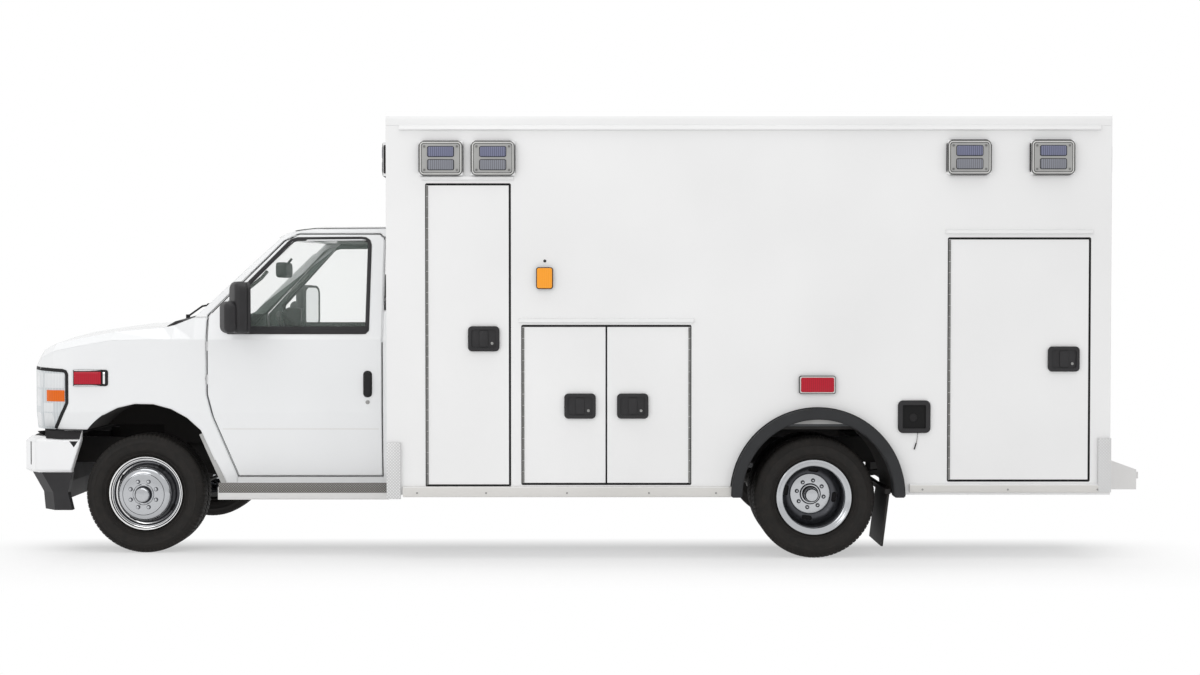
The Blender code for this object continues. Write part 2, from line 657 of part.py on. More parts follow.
def make_front_wheel(side_name, side, knuckle):
    """A front rim with its domed disc, hub and cap."""
    middle = FRONT_TRACK / 2
    bore = hole_radius(SPINDLE_RADIUS, WHEEL_SIDES)
    bore_end = middle + SPINDLE_END + JOINT_GAP / 2
    inner = middle + HUB_INNER
    profile = rim_place(FRONT_DISC_OUTER_SHARES, middle) + rim_edge(middle)
    profile += rim_place(FRONT_DISC_INNER_SHARES, middle)
    profile += [(HUB_RADIUS, inner), (bore, inner), (bore, bore_end), (0, bore_end)]
    wheel = turned(profile, FRONT_AXLE_X, AXLE_HEIGHT, WHEEL_SIDES, side)
    return node("wheel_front_" + side_name, wheel, BRIGHT_METAL,
                (FRONT_AXLE_X, side * middle, AXLE_HEIGHT), knuckle)


def make_rear_wheel(side_name, side):
    """Both rims of a twin wheel, bolted face to face, with the hub and its cap."""
    face = REAR_TRACK / 2
    half = TWIN_SPACING / 2
    bore = hole_radius(REAR_SPINDLE_RADIUS, WHEEL_SIDES)
    bore_end = face - REAR_SPINDLE_END + JOINT_GAP / 2
    profile = rim_place(REAR_DISC_OUTER_SHARES, face) + rim_edge(face + half)
    profile += rim_place(REAR_DISC_MIDDLE_SHARES, face) + rim_edge(face - half)
    profile += rim_place(REAR_DISC_INNER_SHARES, face)
    profile += [(REAR_HUB_RADIUS, face - REAR_HUB_DEPTH), (bore, face - REAR_HUB_DEPTH),
                (bore, bore_end), (0, bore_end)]
    wheel = turned(profile, REAR_AXLE_X, AXLE_HEIGHT, WHEEL_SIDES, side)
    holes = []
    for i in range(HAND_HOLE_COUNT):
        angle = math.radians(45) + 2 * math.pi * i / HAND_HOLE_COUNT
        hole = box(-HAND_HOLE_LENGTH / 2, HAND_HOLE_LENGTH / 2, -HAND_HOLE_LENGTH,
                   HAND_HOLE_LENGTH, HAND_HOLE_RADIUS - HAND_HOLE_HEIGHT / 2,
                   HAND_HOLE_RADIUS + HAND_HOLE_HEIGHT / 2)
        hole.data.transform(Matrix.Rotation(angle, 4, "Y"))
        hole.data.transform(Matrix.Translation((REAR_AXLE_X, side * face, AXLE_HEIGHT)))
        holes.append(hole)
    cut(wheel, gather(*holes))
    return node("wheel_rear_" + side_name, wheel, BRIGHT_METAL,
                (REAR_AXLE_X, side * face, AXLE_HEIGHT))


def make_tyre(name, x, y, side, wheel):
    """A tyre on one rim, with a flat tread."""
    half = TYRE_WIDTH / 2
    foot = LIP_RADIUS + BEAD_GAP * 3
    upper = [(RIM_RADIUS + SEAT_GAP, BEAD_HALF_WIDTH - BEAD_GAP),
             (foot, RIM_HALF_WIDTH - LIP_THICKNESS - BEAD_GAP)]
    upper += [(foot + (TYRE_RADIUS - foot) * rise, half * width)
              for rise, width in TYRE_SIDE_SHARES]
    profile = upper + [(radius, -place) for radius, place in reversed(upper)]
    profile = [(radius, y + place) for radius, place in profile]
    tyre = turned(profile, x, AXLE_HEIGHT, WHEEL_SIDES, side)
    return node(name, tyre, TYRE_RUBBER, (x, side * y, AXLE_HEIGHT), wheel)


# Cab body

PANEL_THICKNESS = 0.045
HOOD_THICKNESS = 0.035
GLASS_THICKNESS = 0.008
GLASS_SETBACK = 0.012
DOOR_GAP = 0.01
SILL_HEIGHT = 0.42
NOSE_BOTTOM = 0.745
SIDE_TUCK = 0.03
LOW_SIDE_HEIGHT = 0.85
BELT_HEIGHT = 1.29
BELT_DROP = 0.05

# Columns: share of the cab's length, half width at the belt, shoulder's half
# width, both as shares of the cab's half width, then the shoulder's height and
# the middle's height as shares of the cab's height.
CAB_SECTION_SHARES = (
    (0.0000, 0.450, 0.420, 0.5440, 0.5586),
    (0.0045, 0.660, 0.620, 0.5590, 0.5810),
    (0.0157, 0.800, 0.740, 0.5810, 0.6085),
    (0.0427, 0.900, 0.820, 0.6110, 0.6360),
    (0.0831, 0.955, 0.870, 0.6309, 0.6534),
    (0.1326, 0.980, 0.890, 0.6434, 0.6683),
    (0.2449, 0.995, 0.905, 0.6658, 0.6858),
    (0.3798, 1.000, 0.910, 0.6783, 0.6933),
    (0.4112, 1.000, 0.935, 0.6858, 0.7032),
    (0.4697, 1.000, 0.960, 0.7107, 0.7706),
    (0.5820, 1.000, 0.900, 0.8314, 0.8978),
    (0.6584, 1.000, 0.860, 0.9127, 0.9751),
    (0.7083, 1.000, 0.838, 0.9636, 0.9900),
    (0.7843, 1.000, 0.830, 0.9770, 1.0000),
    (1.0000, 1.000, 0.830, 0.9786, 1.0000))
CROWN_WIDTH_SHARE = 0.55
CROWN_RISE_SHARE = 0.72
LOW_SECTION_START = 7
NOSE_BLEND = 0.3

# Columns: share of the cab's length, share of the cab's height.
DOOR_OUTLINE_SHARES = ((0.5080, 0.714), (0.5080, 0.480), (0.5240, 0.410), (0.5900, 0.234),
                       (0.9770, 0.234), (0.9770, 0.948), (0.9650, 0.960), (0.7450, 0.960),
                       (0.7050, 0.938))
WINDOW_OUTLINE_SHARES = ((0.5500, 0.6660), (0.9380, 0.6660), (0.9380, 0.9330),
                         (0.9290, 0.9430), (0.7290, 0.9410), (0.5500, 0.7430))
LAMP_OUTLINE_SHARES = ((-0.05, 0.5560), (0.1230, 0.5480), (0.1230, 0.4510),
                       (0.0850, 0.3716), (-0.05, 0.3716))
WINDSCREEN_OUTLINE_SHARES = ((-0.860, 0.7140), (0.860, 0.7140), (0.770, 0.9580),
                             (-0.770, 0.9580))
HOOD_REAR_SHARE = 0.3750
HOOD_FRONT_HEIGHT = 1.122
HOOD_FRONT_HALF_WIDTH = 0.60
HOOD_REAR_HALF_WIDTH = 0.76
COWL_HALF_WIDTH = 0.88
COWL_HEIGHT = 1.2
FENDER_TOP_SHARE = 0.7095
GRILLE_HALF_WIDTH = 0.515
GRILLE_DEPTH = 0.05
GRILLE_BORDER = 0.03
GRILLE_ROWS = 4
GRILLE_BAR = 0.016
LAMP_DEPTH = 0.06
ARCH_RADIUS = 0.454
ARCH_DROP_X = 0.0075
ARCH_HEIGHT = 0.451
ARCH_REAR_X = 0.4825
ARCH_INNER_Y = 0.53
LINER_THICKNESS = 0.015
LINER_BOTTOM = 0.63
RADIATOR_SHARE = 0.1390
RADIATOR_THICKNESS = 0.03
FIREWALL_SHARE = 0.4160
FIREWALL_THICKNESS = 0.035
POST_INNER_Y = 0.87
DOOR_INNER_Y = 0.79
POST_REAR_SHARE = 0.5010
CAB_FLOOR_THICKNESS = 0.04
STEP_WELL_Y = 0.74
STEP_WELL_THICKNESS = 0.03
SIDE_LAMP_X_SHARES = (0.142, 0.237)
SIDE_LAMP_Z_SHARES = (0.504, 0.552)
SIDE_LAMP_PROUD = 0.012
CAB_HINGE_HEIGHTS = (1.02, 1.22)
CAB_HINGE_LENGTH = 0.06
CAB_HINGE_RADIUS = 0.0045
LEAF_THICKNESS = 0.004
HOOD_HINGE_Y = 0.5
HOOD_HINGE_RADIUS = 0.005
HOOD_HINGE_HEIGHT = 1.381


def cab_point(shares):
    """A place (x, z) from shares of the cab's length and height."""
    return (CAB_FRONT_X + CAB_LENGTH * shares[0], CAB_HEIGHT * shares[1])


def cab_outline(table):
    """Places (x, z) from a table of shares."""
    return [cab_point(row) for row in table]


def cab_body(inset):
    """The cab's whole form, drawn in by one distance on every side."""
    heights = [row[4] * CAB_HEIGHT for row in CAB_SECTION_SHARES]
    places = [cab_point(row)[0] for row in CAB_SECTION_SHARES]
    sections = []
    for i, (share, belt, shoulder, edge, top) in enumerate(CAB_SECTION_SHARES):
        before = max(i - 1, 0)
        after = min(i + 1, len(places) - 1)
        slope = (heights[after] - heights[before]) / (places[after] - places[before])
        lean = min(math.hypot(1, slope), math.sqrt(3))
        x = places[i]
        x += inset * max(0, 1 - (x - CAB_FRONT_X) / NOSE_BLEND)
        if i == after and inset > 0:
            x += OVERRUN
        low = SILL_HEIGHT if i >= LOW_SECTION_START else NOSE_BOTTOM
        low += inset
        side = belt * CAB_HALF_WIDTH - inset
        edge_z = edge * CAB_HEIGHT - inset * lean
        top_z = top * CAB_HEIGHT - inset * lean
        belt_z = min(BELT_HEIGHT, edge_z - BELT_DROP)
        edge_y = shoulder * CAB_HALF_WIDTH - inset
        crown = (edge_y * CROWN_WIDTH_SHARE, edge_z + (top_z - edge_z) * CROWN_RISE_SHARE)
        half = [(side - SIDE_TUCK, low), (side, LOW_SIDE_HEIGHT), (side, belt_z),
                (edge_y, edge_z), crown]
        mirrored = [(-y, z) for y, z in reversed(half)]
        outline = half + [(0, top_z)] + mirrored + [(0, low)]
        sections.append([(x, y, z) for y, z in outline])
    return curved_loft(sections)


def panel(region, thickness, depth=0):
    """The cab's skin within one region, at a depth below the surface."""
    return cut(keep(cab_body(depth), region), cab_body(depth + thickness))


def side_region(outline, inner_y):
    """A cutter through one outline on both sides of the cab."""
    return both(along_y(outline, inner_y, CAB_HALF_WIDTH + OVERRUN))


def grown(outline, distance):
    """An outline of (a, b) points moved out by one distance all round."""
    count = len(outline)
    area = sum(outline[i][0] * outline[(i + 1) % count][1]
               - outline[(i + 1) % count][0] * outline[i][1] for i in range(count))
    turn = 1 if area > 0 else -1
    moved = []
    for i in range(count):
        before = Vector(outline[i]) - Vector(outline[i - 1])
        after = Vector(outline[(i + 1) % count]) - Vector(outline[i])
        first = Vector((before.y, -before.x)).normalized() * turn
        second = Vector((after.y, -after.x)).normalized() * turn
        middle = first + second
        middle *= distance / (1 + first.dot(second))
        moved.append((outline[i][0] + middle.x, outline[i][1] + middle.y))
    return moved


def arch_outline(extra):
    """The front wheel arch, round over the wheel and straight behind it."""
    centre = (FRONT_AXLE_X - ARCH_DROP_X, ARCH_HEIGHT)
    curve = arc_points(centre, ARCH_RADIUS + extra, 180, 40, 10)
    return [(centre[0] - ARCH_RADIUS - extra, 0)] + curve + [
        (FRONT_AXLE_X + ARCH_REAR_X + extra, SILL_HEIGHT - extra),
        (FRONT_AXLE_X + ARCH_REAR_X + extra, 0)]


def fender_region(gap):
    """Where the skin belongs to the front clip, drawn in by a gap."""
    door_x = cab_point(DOOR_OUTLINE_SHARES[0])[0] - DOOR_GAP - gap
    cowl_x = cab_point((HOOD_REAR_SHARE, 0))[0] - gap
    front_x = CAB_FRONT_X - OVERRUN
    top = CAB_HEIGHT * FENDER_TOP_SHARE - gap
    whole = box(front_x, cowl_x, -CAB_HALF_WIDTH - OVERRUN, CAB_HALF_WIDTH + OVERRUN,
                0, CAB_HEIGHT)
    outline = [(cowl_x - OVERRUN, 0)]
    lower = [cab_point(row) for row in DOOR_OUTLINE_SHARES[1:4]]
    outline += [(lower[2][0] - DOOR_GAP - gap, 0)]
    outline += [(x - DOOR_GAP - gap, z) for x, z in reversed(lower)]
    outline += [(door_x, top), (cowl_x - OVERRUN, top)]
    sides = side_region(outline, COWL_HALF_WIDTH + gap)
    return add(whole, sides)


def hood_region(gap):
    """The hood's plan, drawn in by a gap all round."""
    rear_x = cab_point((HOOD_REAR_SHARE, 0))[0] - 2 * JOINT_GAP + JOINT_GAP / 2 - gap
    front_x = CAB_FRONT_X - OVERRUN
    plan = [(front_x, -HOOD_FRONT_HALF_WIDTH + gap), (CAB_FRONT_X, -HOOD_FRONT_HALF_WIDTH + gap),
            (rear_x, -HOOD_REAR_HALF_WIDTH + gap), (rear_x, HOOD_REAR_HALF_WIDTH - gap),
            (CAB_FRONT_X, HOOD_FRONT_HALF_WIDTH - gap), (front_x, HOOD_FRONT_HALF_WIDTH - gap)]
    return along_z(plan, HOOD_FRONT_HEIGHT + gap, CAB_HEIGHT)


def grille_region(gap):
    """The grille's place between the headlamps, drawn in by a gap."""
    half = GRILLE_HALF_WIDTH - gap
    return box(CAB_FRONT_X - OVERRUN, CAB_FRONT_X + OVERRUN, -half, half, 0,
               HOOD_FRONT_HEIGHT - JOINT_GAP - gap)


def lamp_region(gap, side):
    """One headlamp's place on its corner, drawn in by a gap."""
    outline = grown(cab_outline(LAMP_OUTLINE_SHARES), -gap)
    region = along_y(outline, GRILLE_HALF_WIDTH + gap, CAB_HALF_WIDTH + OVERRUN)
    return put_left(region) if side == LEFT else region


def put_left(part):
    """Mirrors a body that was made on the right to the left."""
    part.data.transform(Matrix.Diagonal((1, -1, 1, 1)))
    part.data.flip_normals()
    return part


def make_front_clip():
    """Both fenders with their arch liners, joined across the radiator."""
    clip = keep(cab_body(0), fender_region(SEAT_GAP))
    cut(clip, hood_region(-JOINT_GAP), lamp_region(0, LEFT), lamp_region(0, RIGHT),
        grille_region(0))
    cut(clip, cab_body(PANEL_THICKNESS))
    bay = box(CAB_FRONT_X - OVERRUN, CAB_FRONT_X + CAB_LENGTH, -ARCH_INNER_Y, ARCH_INNER_Y,
              0, NOSE_BOTTOM + 2 * PANEL_THICKNESS)
    cut(clip, bay)
    liner_side = CAB_HALF_WIDTH - PANEL_THICKNESS
    liner = both(along_y(arch_outline(LINER_THICKNESS), ARCH_INNER_Y - LINER_THICKNESS,
                         liner_side))
    low = box(CAB_FRONT_X - OVERRUN, CAB_FRONT_X + CAB_LENGTH, -CAB_HALF_WIDTH,
              CAB_HALF_WIDTH, -OVERRUN, LINER_BOTTOM)
    low_front = box(CAB_FRONT_X - OVERRUN, FRONT_AXLE_X, -CAB_HALF_WIDTH, CAB_HALF_WIDTH,
                    -OVERRUN, NOSE_BOTTOM)
    cut(liner, low, low_front)
    radiator_x = cab_point((RADIATOR_SHARE, 0))[0]
    radiator = box(radiator_x, radiator_x + RADIATOR_THICKNESS,
                   -CAB_HALF_WIDTH + PANEL_THICKNESS, CAB_HALF_WIDTH - PANEL_THICKNESS,
                   NOSE_BOTTOM + PANEL_THICKNESS / 2, COWL_HEIGHT)
    add(clip, liner, radiator)
    arches = both(along_y(arch_outline(0), ARCH_INNER_Y, CAB_HALF_WIDTH + OVERRUN))
    cut(clip, arches)
    front_x, rear_x = (cab_point((share, 0))[0] for share in SIDE_LAMP_X_SHARES)
    low_z, high_z = (CAB_HEIGHT * share for share in SIDE_LAMP_Z_SHARES)
    lamps = both(box(front_x, rear_x, CAB_HALF_WIDTH - PANEL_THICKNESS,
                     CAB_HALF_WIDTH - SIDE_LAMP_PROUD / 4, low_z, high_z))
    return node("front_clip", add(clip, lamps), WHITE_PAINT)


def make_headlamp(side_name, side):
    """The headlamp that wraps round one front corner."""
    lamp = panel(lamp_region(SEAT_GAP, side), LAMP_DEPTH)
    return node("headlamp_" + side_name, lamp, LAMP_LENS)


def make_grille():
    """The grille between the headlamps, with four rows of openings."""
    grille = panel(grille_region(SEAT_GAP), GRILLE_DEPTH)
    low = NOSE_BOTTOM + GRILLE_BORDER
    pitch = (HOOD_FRONT_HEIGHT - JOINT_GAP - GRILLE_BORDER - low + GRILLE_BAR) / GRILLE_ROWS
    slots = []
    for row in range(GRILLE_ROWS):
        z = low + pitch * row
        for side in (LEFT, RIGHT):
            near = side * GRILLE_BAR / 2
            far = side * (GRILLE_HALF_WIDTH - GRILLE_BORDER)
            slots.append(box(CAB_FRONT_X - OVERRUN, CAB_FRONT_X + OVERRUN, min(near, far),
                             max(near, far), z, z + pitch - GRILLE_BAR))
    cut(grille, gather(*slots))
    deep = box(CAB_FRONT_X + GRILLE_DEPTH, CAB_FRONT_X + CAB_LENGTH, -CAB_HALF_WIDTH,
               CAB_HALF_WIDTH, 0, CAB_HEIGHT)
    return node("grille", cut(grille, deep), BRIGHT_METAL)


def hood_axis():
    """The hood's hinge line (x, z) along its rear edge."""
    x = cab_point((HOOD_REAR_SHARE, 0))[0] - JOINT_GAP / 2 - SEAT_GAP - HOOD_HINGE_RADIUS
    return x, HOOD_HINGE_HEIGHT


def make_hood():
    """The hood, with two hinge barrels at its rear edge."""
    hood = panel(hood_region(0), HOOD_THICKNESS)
    x, z = hood_axis()
    barrels = both(crossways(x, z, HOOD_HINGE_Y, HOOD_HINGE_Y + CAB_HINGE_LENGTH,
                             HOOD_HINGE_RADIUS))
    leaves = both(box(x - 3 * JOINT_GAP, x, HOOD_HINGE_Y, HOOD_HINGE_Y + CAB_HINGE_LENGTH,
                      z - LEAF_THICKNESS, z))
    return node("hood", add(hood, barrels, leaves), WHITE_PAINT, (x, 0, z))


def make_cab_shell():
    """The cab's floor, pillars, cowl and roof, open to the body behind it."""
    shell = cut(cab_body(0), fender_region(0), cab_body(PANEL_THICKNESS))
    rear = box(CAB_REAR_X - OVERRUN / 2, CAB_REAR_X + OVERRUN,
               -CAB_HALF_WIDTH + PANEL_THICKNESS, CAB_HALF_WIDTH - PANEL_THICKNESS,
               CAB_FLOOR_BOTTOM + CAB_FLOOR_THICKNESS, CAB_HEIGHT - 2 * PANEL_THICKNESS)
    cut(shell, rear)
    wall_x = cab_point((FIREWALL_SHARE, 0))[0]
    post_x = cab_point((POST_REAR_SHARE, 0))[0]
    inner = CAB_HALF_WIDTH - PANEL_THICKNESS - JOINT_GAP
    firewall = box(wall_x, wall_x + FIREWALL_THICKNESS, -inner, inner,
                   CAB_FLOOR_BOTTOM, CAB_HEIGHT * FENDER_TOP_SHARE - PANEL_THICKNESS)
    posts = both(box(wall_x, post_x, POST_INNER_Y, inner, SILL_HEIGHT + PANEL_THICKNESS / 4,
                     CAB_HEIGHT * FENDER_TOP_SHARE + PANEL_THICKNESS / 4))
    floor = box(wall_x, CAB_REAR_X, -STEP_WELL_Y, STEP_WELL_Y, CAB_FLOOR_BOTTOM,
                CAB_FLOOR_BOTTOM + CAB_FLOOR_THICKNESS)
    riser = both(box(wall_x, CAB_REAR_X, STEP_WELL_Y - STEP_WELL_THICKNESS, STEP_WELL_Y,
                     SILL_HEIGHT, CAB_FLOOR_BOTTOM + CAB_FLOOR_THICKNESS / 2))
    under = box(CAB_FRONT_X, CAB_REAR_X + OVERRUN, -STEP_WELL_Y + STEP_WELL_THICKNESS,
                STEP_WELL_Y - STEP_WELL_THICKNESS, 0, CAB_FLOOR_BOTTOM)
    inside = keep(add(firewall, posts, floor, riser), cab_body(PANEL_THICKNESS / 2))
    cut(inside, panel(fender_region(-SEAT_GAP), PANEL_THICKNESS + JOINT_GAP / 2))
    add(shell, inside)
    cut(shell, under)
    doors = side_region(grown(cab_outline(DOOR_OUTLINE_SHARES), DOOR_GAP),
                        DOOR_INNER_Y - DOOR_GAP)
    cut(shell, doors, windscreen_region(0))
    arches = both(along_y(arch_outline(LINER_THICKNESS + SEAT_GAP),
                          ARCH_INNER_Y - LINER_THICKNESS - SEAT_GAP, CAB_HALF_WIDTH + OVERRUN))
    return node("cab_shell", cut(shell, arches), WHITE_PAINT)


def windscreen_region(gap):
    """The windscreen's place between the front pillars, drawn in by a gap."""
    outline = [(y * CAB_HALF_WIDTH, z * CAB_HEIGHT) for y, z in WINDSCREEN_OUTLINE_SHARES]
    front_x = cab_point((HOOD_REAR_SHARE, 0))[0]
    rear_x = cab_point((CAB_SECTION_SHARES[-2][0], 0))[0]
    return along_x(grown(outline, -gap), front_x + gap, rear_x)


def make_windscreen():
    """The windscreen, set a little below the skin."""
    glass = panel(windscreen_region(SEAT_GAP), GLASS_THICKNESS, GLASS_SETBACK)
    return node("windscreen", glass, CLEAR_GLASS)


def cab_door_axis(side):
    """The door's hinge line (x, y) in the gap behind the fender."""
    x = cab_point(DOOR_OUTLINE_SHARES[0])[0] - DOOR_GAP + CAB_HINGE_RADIUS
    return x, side * CAB_HALF_WIDTH


def door_region(table, side, gap):
    """One cab side's door or window, drawn in by a gap."""
    outline = grown(cab_outline(table), -gap)
    region = along_y(outline, DOOR_INNER_Y, CAB_HALF_WIDTH + OVERRUN)
    return put_left(region) if side == LEFT else region


def make_cab_door(side_name, side):
    """A cab door with its window cut and two hinge barrels."""
    door = panel(door_region(DOOR_OUTLINE_SHARES, side, 0), PANEL_THICKNESS)
    cut(door, door_region(WINDOW_OUTLINE_SHARES, side, 0))
    x, y = cab_door_axis(side)
    for height in CAB_HINGE_HEIGHTS:
        top = height + CAB_HINGE_LENGTH
        inner = y - side * LEAF_THICKNESS
        leaf = box(x, x + 2 * JOINT_GAP, min(inner, y), max(inner, y), height, top)
        add(door, leaf, upright(x, y, height, top, CAB_HINGE_RADIUS))
    return node("cab_door_" + side_name, door, WHITE_PAINT, (x, y, CAB_FLOOR_BOTTOM))


def make_cab_glass(side_name, side, door):
    """The glass of one cab door, set a little below its skin."""
    region = door_region(WINDOW_OUTLINE_SHARES, side, SEAT_GAP)
    glass = panel(region, GLASS_THICKNESS, GLASS_SETBACK)
    return node("cab_glass_" + side_name, glass, CLEAR_GLASS, door.location, door)


# Front bumper, valance, boards, mirrors and the cab's inside

BUMPER_BOTTOM = 0.487
BUMPER_TOP = 0.69
BUMPER_SHELF_TOP = 0.738
BUMPER_THICKNESS = 0.05
BUMPER_SHELF_SETBACK = 0.11
BUMPER_SIDE_REACH = 0.42
BUMPER_SIDE_RAKE = 0.055
BUMPER_ARM_HALF_WIDTH = 0.04
BUMPER_EDGE = 0.015
VALANCE_BOTTOM = 0.258
VALANCE_SETBACK = 0.085
VALANCE_KNEE_HEIGHT = 0.365
BOARD_FRONT_X = FRONT_AXLE_X + ARCH_REAR_X - 0.017
BOARD_TOP = 0.412
BOARD_HEIGHT = 0.075
BOARD_THICKNESS = 0.02
BOARD_INNER_Y = 0.83
BOARD_OUTER_Y = 1.10
BOARD_ARM_WIDTH = 0.06
BOARD_ARM_SHARES = (0.2, 0.8)
DASH_REAR_X = FRONT_AXLE_X + 0.62
DASH_TOP = 1.30
DASH_DEPTH = 0.4
DASH_HALF_WIDTH = 0.86
DASH_FLOOR_GAP = 0.12
COLUMN_RADIUS = 0.03
WHEEL_RING_RADIUS = 0.19
WHEEL_RING_THICKNESS = 0.014
WHEEL_RING_SIDES = 20
COLUMN_Y = -0.47
COLUMN_LENGTH = 0.25
COLUMN_TILT = math.radians(32)
SEAT_REAR_X = BODY_FRONT_X - 0.035
SEAT_WIDTH = 0.5
SEAT_Y = 0.45
SEAT_BACK_THICKNESS = 0.13
SEAT_LENGTH = 0.52
SEAT_BASE_HEIGHT = 0.16
SEAT_CUSHION_HEIGHT = 0.16
SEAT_BACK_HEIGHT = 0.66
MIRROR_FRONT_X = FRONT_AXLE_X + 0.463
MIRROR_LENGTH = 0.15
MIRROR_INNER_Y = 1.045
MIRROR_OUTER_Y = 1.295
MIRROR_BOTTOM = 1.335
MIRROR_TOP = 1.64
MIRROR_BEVEL = 0.03
MIRROR_ARM_HEIGHTS = (1.36, 1.44)
MIRROR_ARM_RADIUS = 0.014
MIRROR_ARM_REACH = 0.035

# Columns: distance behind the nose, half width.
BUMPER_PLAN_SHARES = ((0.000, 0.00), (0.02, 0.48), (0.06, 0.74), (0.16, 0.90),
                      (0.36, 0.985), (1.0, 0.985))


def bumper_plan(setback, inset, length):
    """Half of the bumper's outer line in plan, as (x, y) points."""
    reach = BUMPER_SIDE_REACH
    points = [(NOSE_X + setback + reach * back + inset, half * CAB_HALF_WIDTH - inset)
              for back, half in BUMPER_PLAN_SHARES[:-1]]
    points[0] = (NOSE_X + setback + inset, 0)
    points.append((NOSE_X + length, BUMPER_PLAN_SHARES[-1][1] * CAB_HALF_WIDTH - inset))
    return points


def wrap_section(setback, inset, length, z):
    """One level of a piece that wraps round the nose."""
    half = bumper_plan(setback, inset, length)
    return [(x, y, z) for x, y in half] + [(x, -y, z) for x, y in reversed(half[1:])]


def make_front_bumper():
    """The bumper with its sloping shelf and two arms to the frame."""
    reach = BUMPER_SIDE_REACH
    rake = BUMPER_SIDE_RAKE
    edge = BUMPER_EDGE
    levels = ((BUMPER_BOTTOM, 0, edge, reach - rake), (BUMPER_BOTTOM + edge, 0, 0, reach - rake),
              (BUMPER_TOP - edge, 0, 0, reach), (BUMPER_TOP, 0, edge, reach),
              (BUMPER_SHELF_TOP, BUMPER_SHELF_SETBACK, BUMPER_THICKNESS, reach))
    bumper = curved_loft([wrap_section(setback, inset, length, z)
                          for z, setback, inset, length in levels])
    wall = BUMPER_THICKNESS
    hollow = curved_loft([wrap_section(0, wall, reach + OVERRUN, BUMPER_BOTTOM - OVERRUN),
                          wrap_section(0, wall, reach + OVERRUN, BUMPER_TOP - wall / 2),
                          wrap_section(BUMPER_SHELF_SETBACK, 2 * wall, reach + OVERRUN,
                                       BUMPER_SHELF_TOP + OVERRUN)])
    cut(bumper, hollow)
    rail_middle = RAIL_OUTER_Y - RAIL_THICKNESS / 2
    arms = both(box(NOSE_X + BUMPER_THICKNESS / 2, FRAME_FRONT_X - SEAT_GAP,
                    rail_middle - BUMPER_ARM_HALF_WIDTH, rail_middle + BUMPER_ARM_HALF_WIDTH,
                    BUMPER_BOTTOM + BUMPER_THICKNESS / 2, RAIL_TOP - BUMPER_THICKNESS / 2))
    return node("front_bumper", add(bumper, arms), BRIGHT_METAL)


def make_bumper_valance():
    """The dark valance that hangs below the bumper."""
    reach = BUMPER_SIDE_REACH - BUMPER_SIDE_RAKE
    end = reach - BUMPER_THICKNESS / 2
    top = BUMPER_BOTTOM - SEAT_GAP
    levels = ((top, BUMPER_THICKNESS / 3, reach), (VALANCE_KNEE_HEIGHT, VALANCE_SETBACK, end),
              (VALANCE_BOTTOM, VALANCE_SETBACK + BUMPER_THICKNESS / 5, reach))
    edge = BUMPER_EDGE
    wall = edge + BUMPER_THICKNESS
    outer = curved_loft([wrap_section(setback, edge, length, z) for z, setback, length in levels])
    inner = curved_loft([wrap_section(setback, wall, length + OVERRUN, z)
                         for z, setback, length in
                         ((top + OVERRUN, BUMPER_THICKNESS / 3, reach),
                          (VALANCE_KNEE_HEIGHT, VALANCE_SETBACK, end),
                          (VALANCE_BOTTOM - OVERRUN, VALANCE_SETBACK, reach))])
    return node("bumper_valance", cut(outer, inner), BLACK_PLASTIC)


def make_running_board(side_name, side):
    """A running board below the cab door, with two arms to the frame."""
    x_low = BOARD_FRONT_X
    x_high = BODY_FRONT_X - SEAT_GAP
    board = box(x_low, x_high, BOARD_INNER_Y, BOARD_OUTER_Y, BOARD_TOP - BOARD_THICKNESS,
                BOARD_TOP)
    lip = box(x_low, x_high, BOARD_OUTER_Y - BOARD_THICKNESS, BOARD_OUTER_Y,
              BOARD_TOP - BOARD_HEIGHT, BOARD_TOP - BOARD_THICKNESS / 2)
    add(board, lip)
    for share in BOARD_ARM_SHARES:
        x = x_low + (x_high - x_low) * share
        low = BOARD_TOP - BOARD_HEIGHT + BOARD_THICKNESS / 2
        arm = box(x, x + BOARD_ARM_WIDTH, RAIL_OUTER_Y + SEAT_GAP,
                  BOARD_OUTER_Y - BOARD_THICKNESS / 2, low, BOARD_TOP - BOARD_THICKNESS / 2)
        foot = box(x, x + BOARD_ARM_WIDTH, RAIL_OUTER_Y + SEAT_GAP,
                   RAIL_OUTER_Y + BOARD_THICKNESS, low, RAIL_TOP - RAIL_HEIGHT / 2)
        add(board, arm, foot)
    if side == LEFT:
        board.data.transform(Matrix.Diagonal((1, -1, 1, 1)))
        board.data.flip_normals()
    return node("running_board_" + side_name, board, BARE_ALUMINIUM)


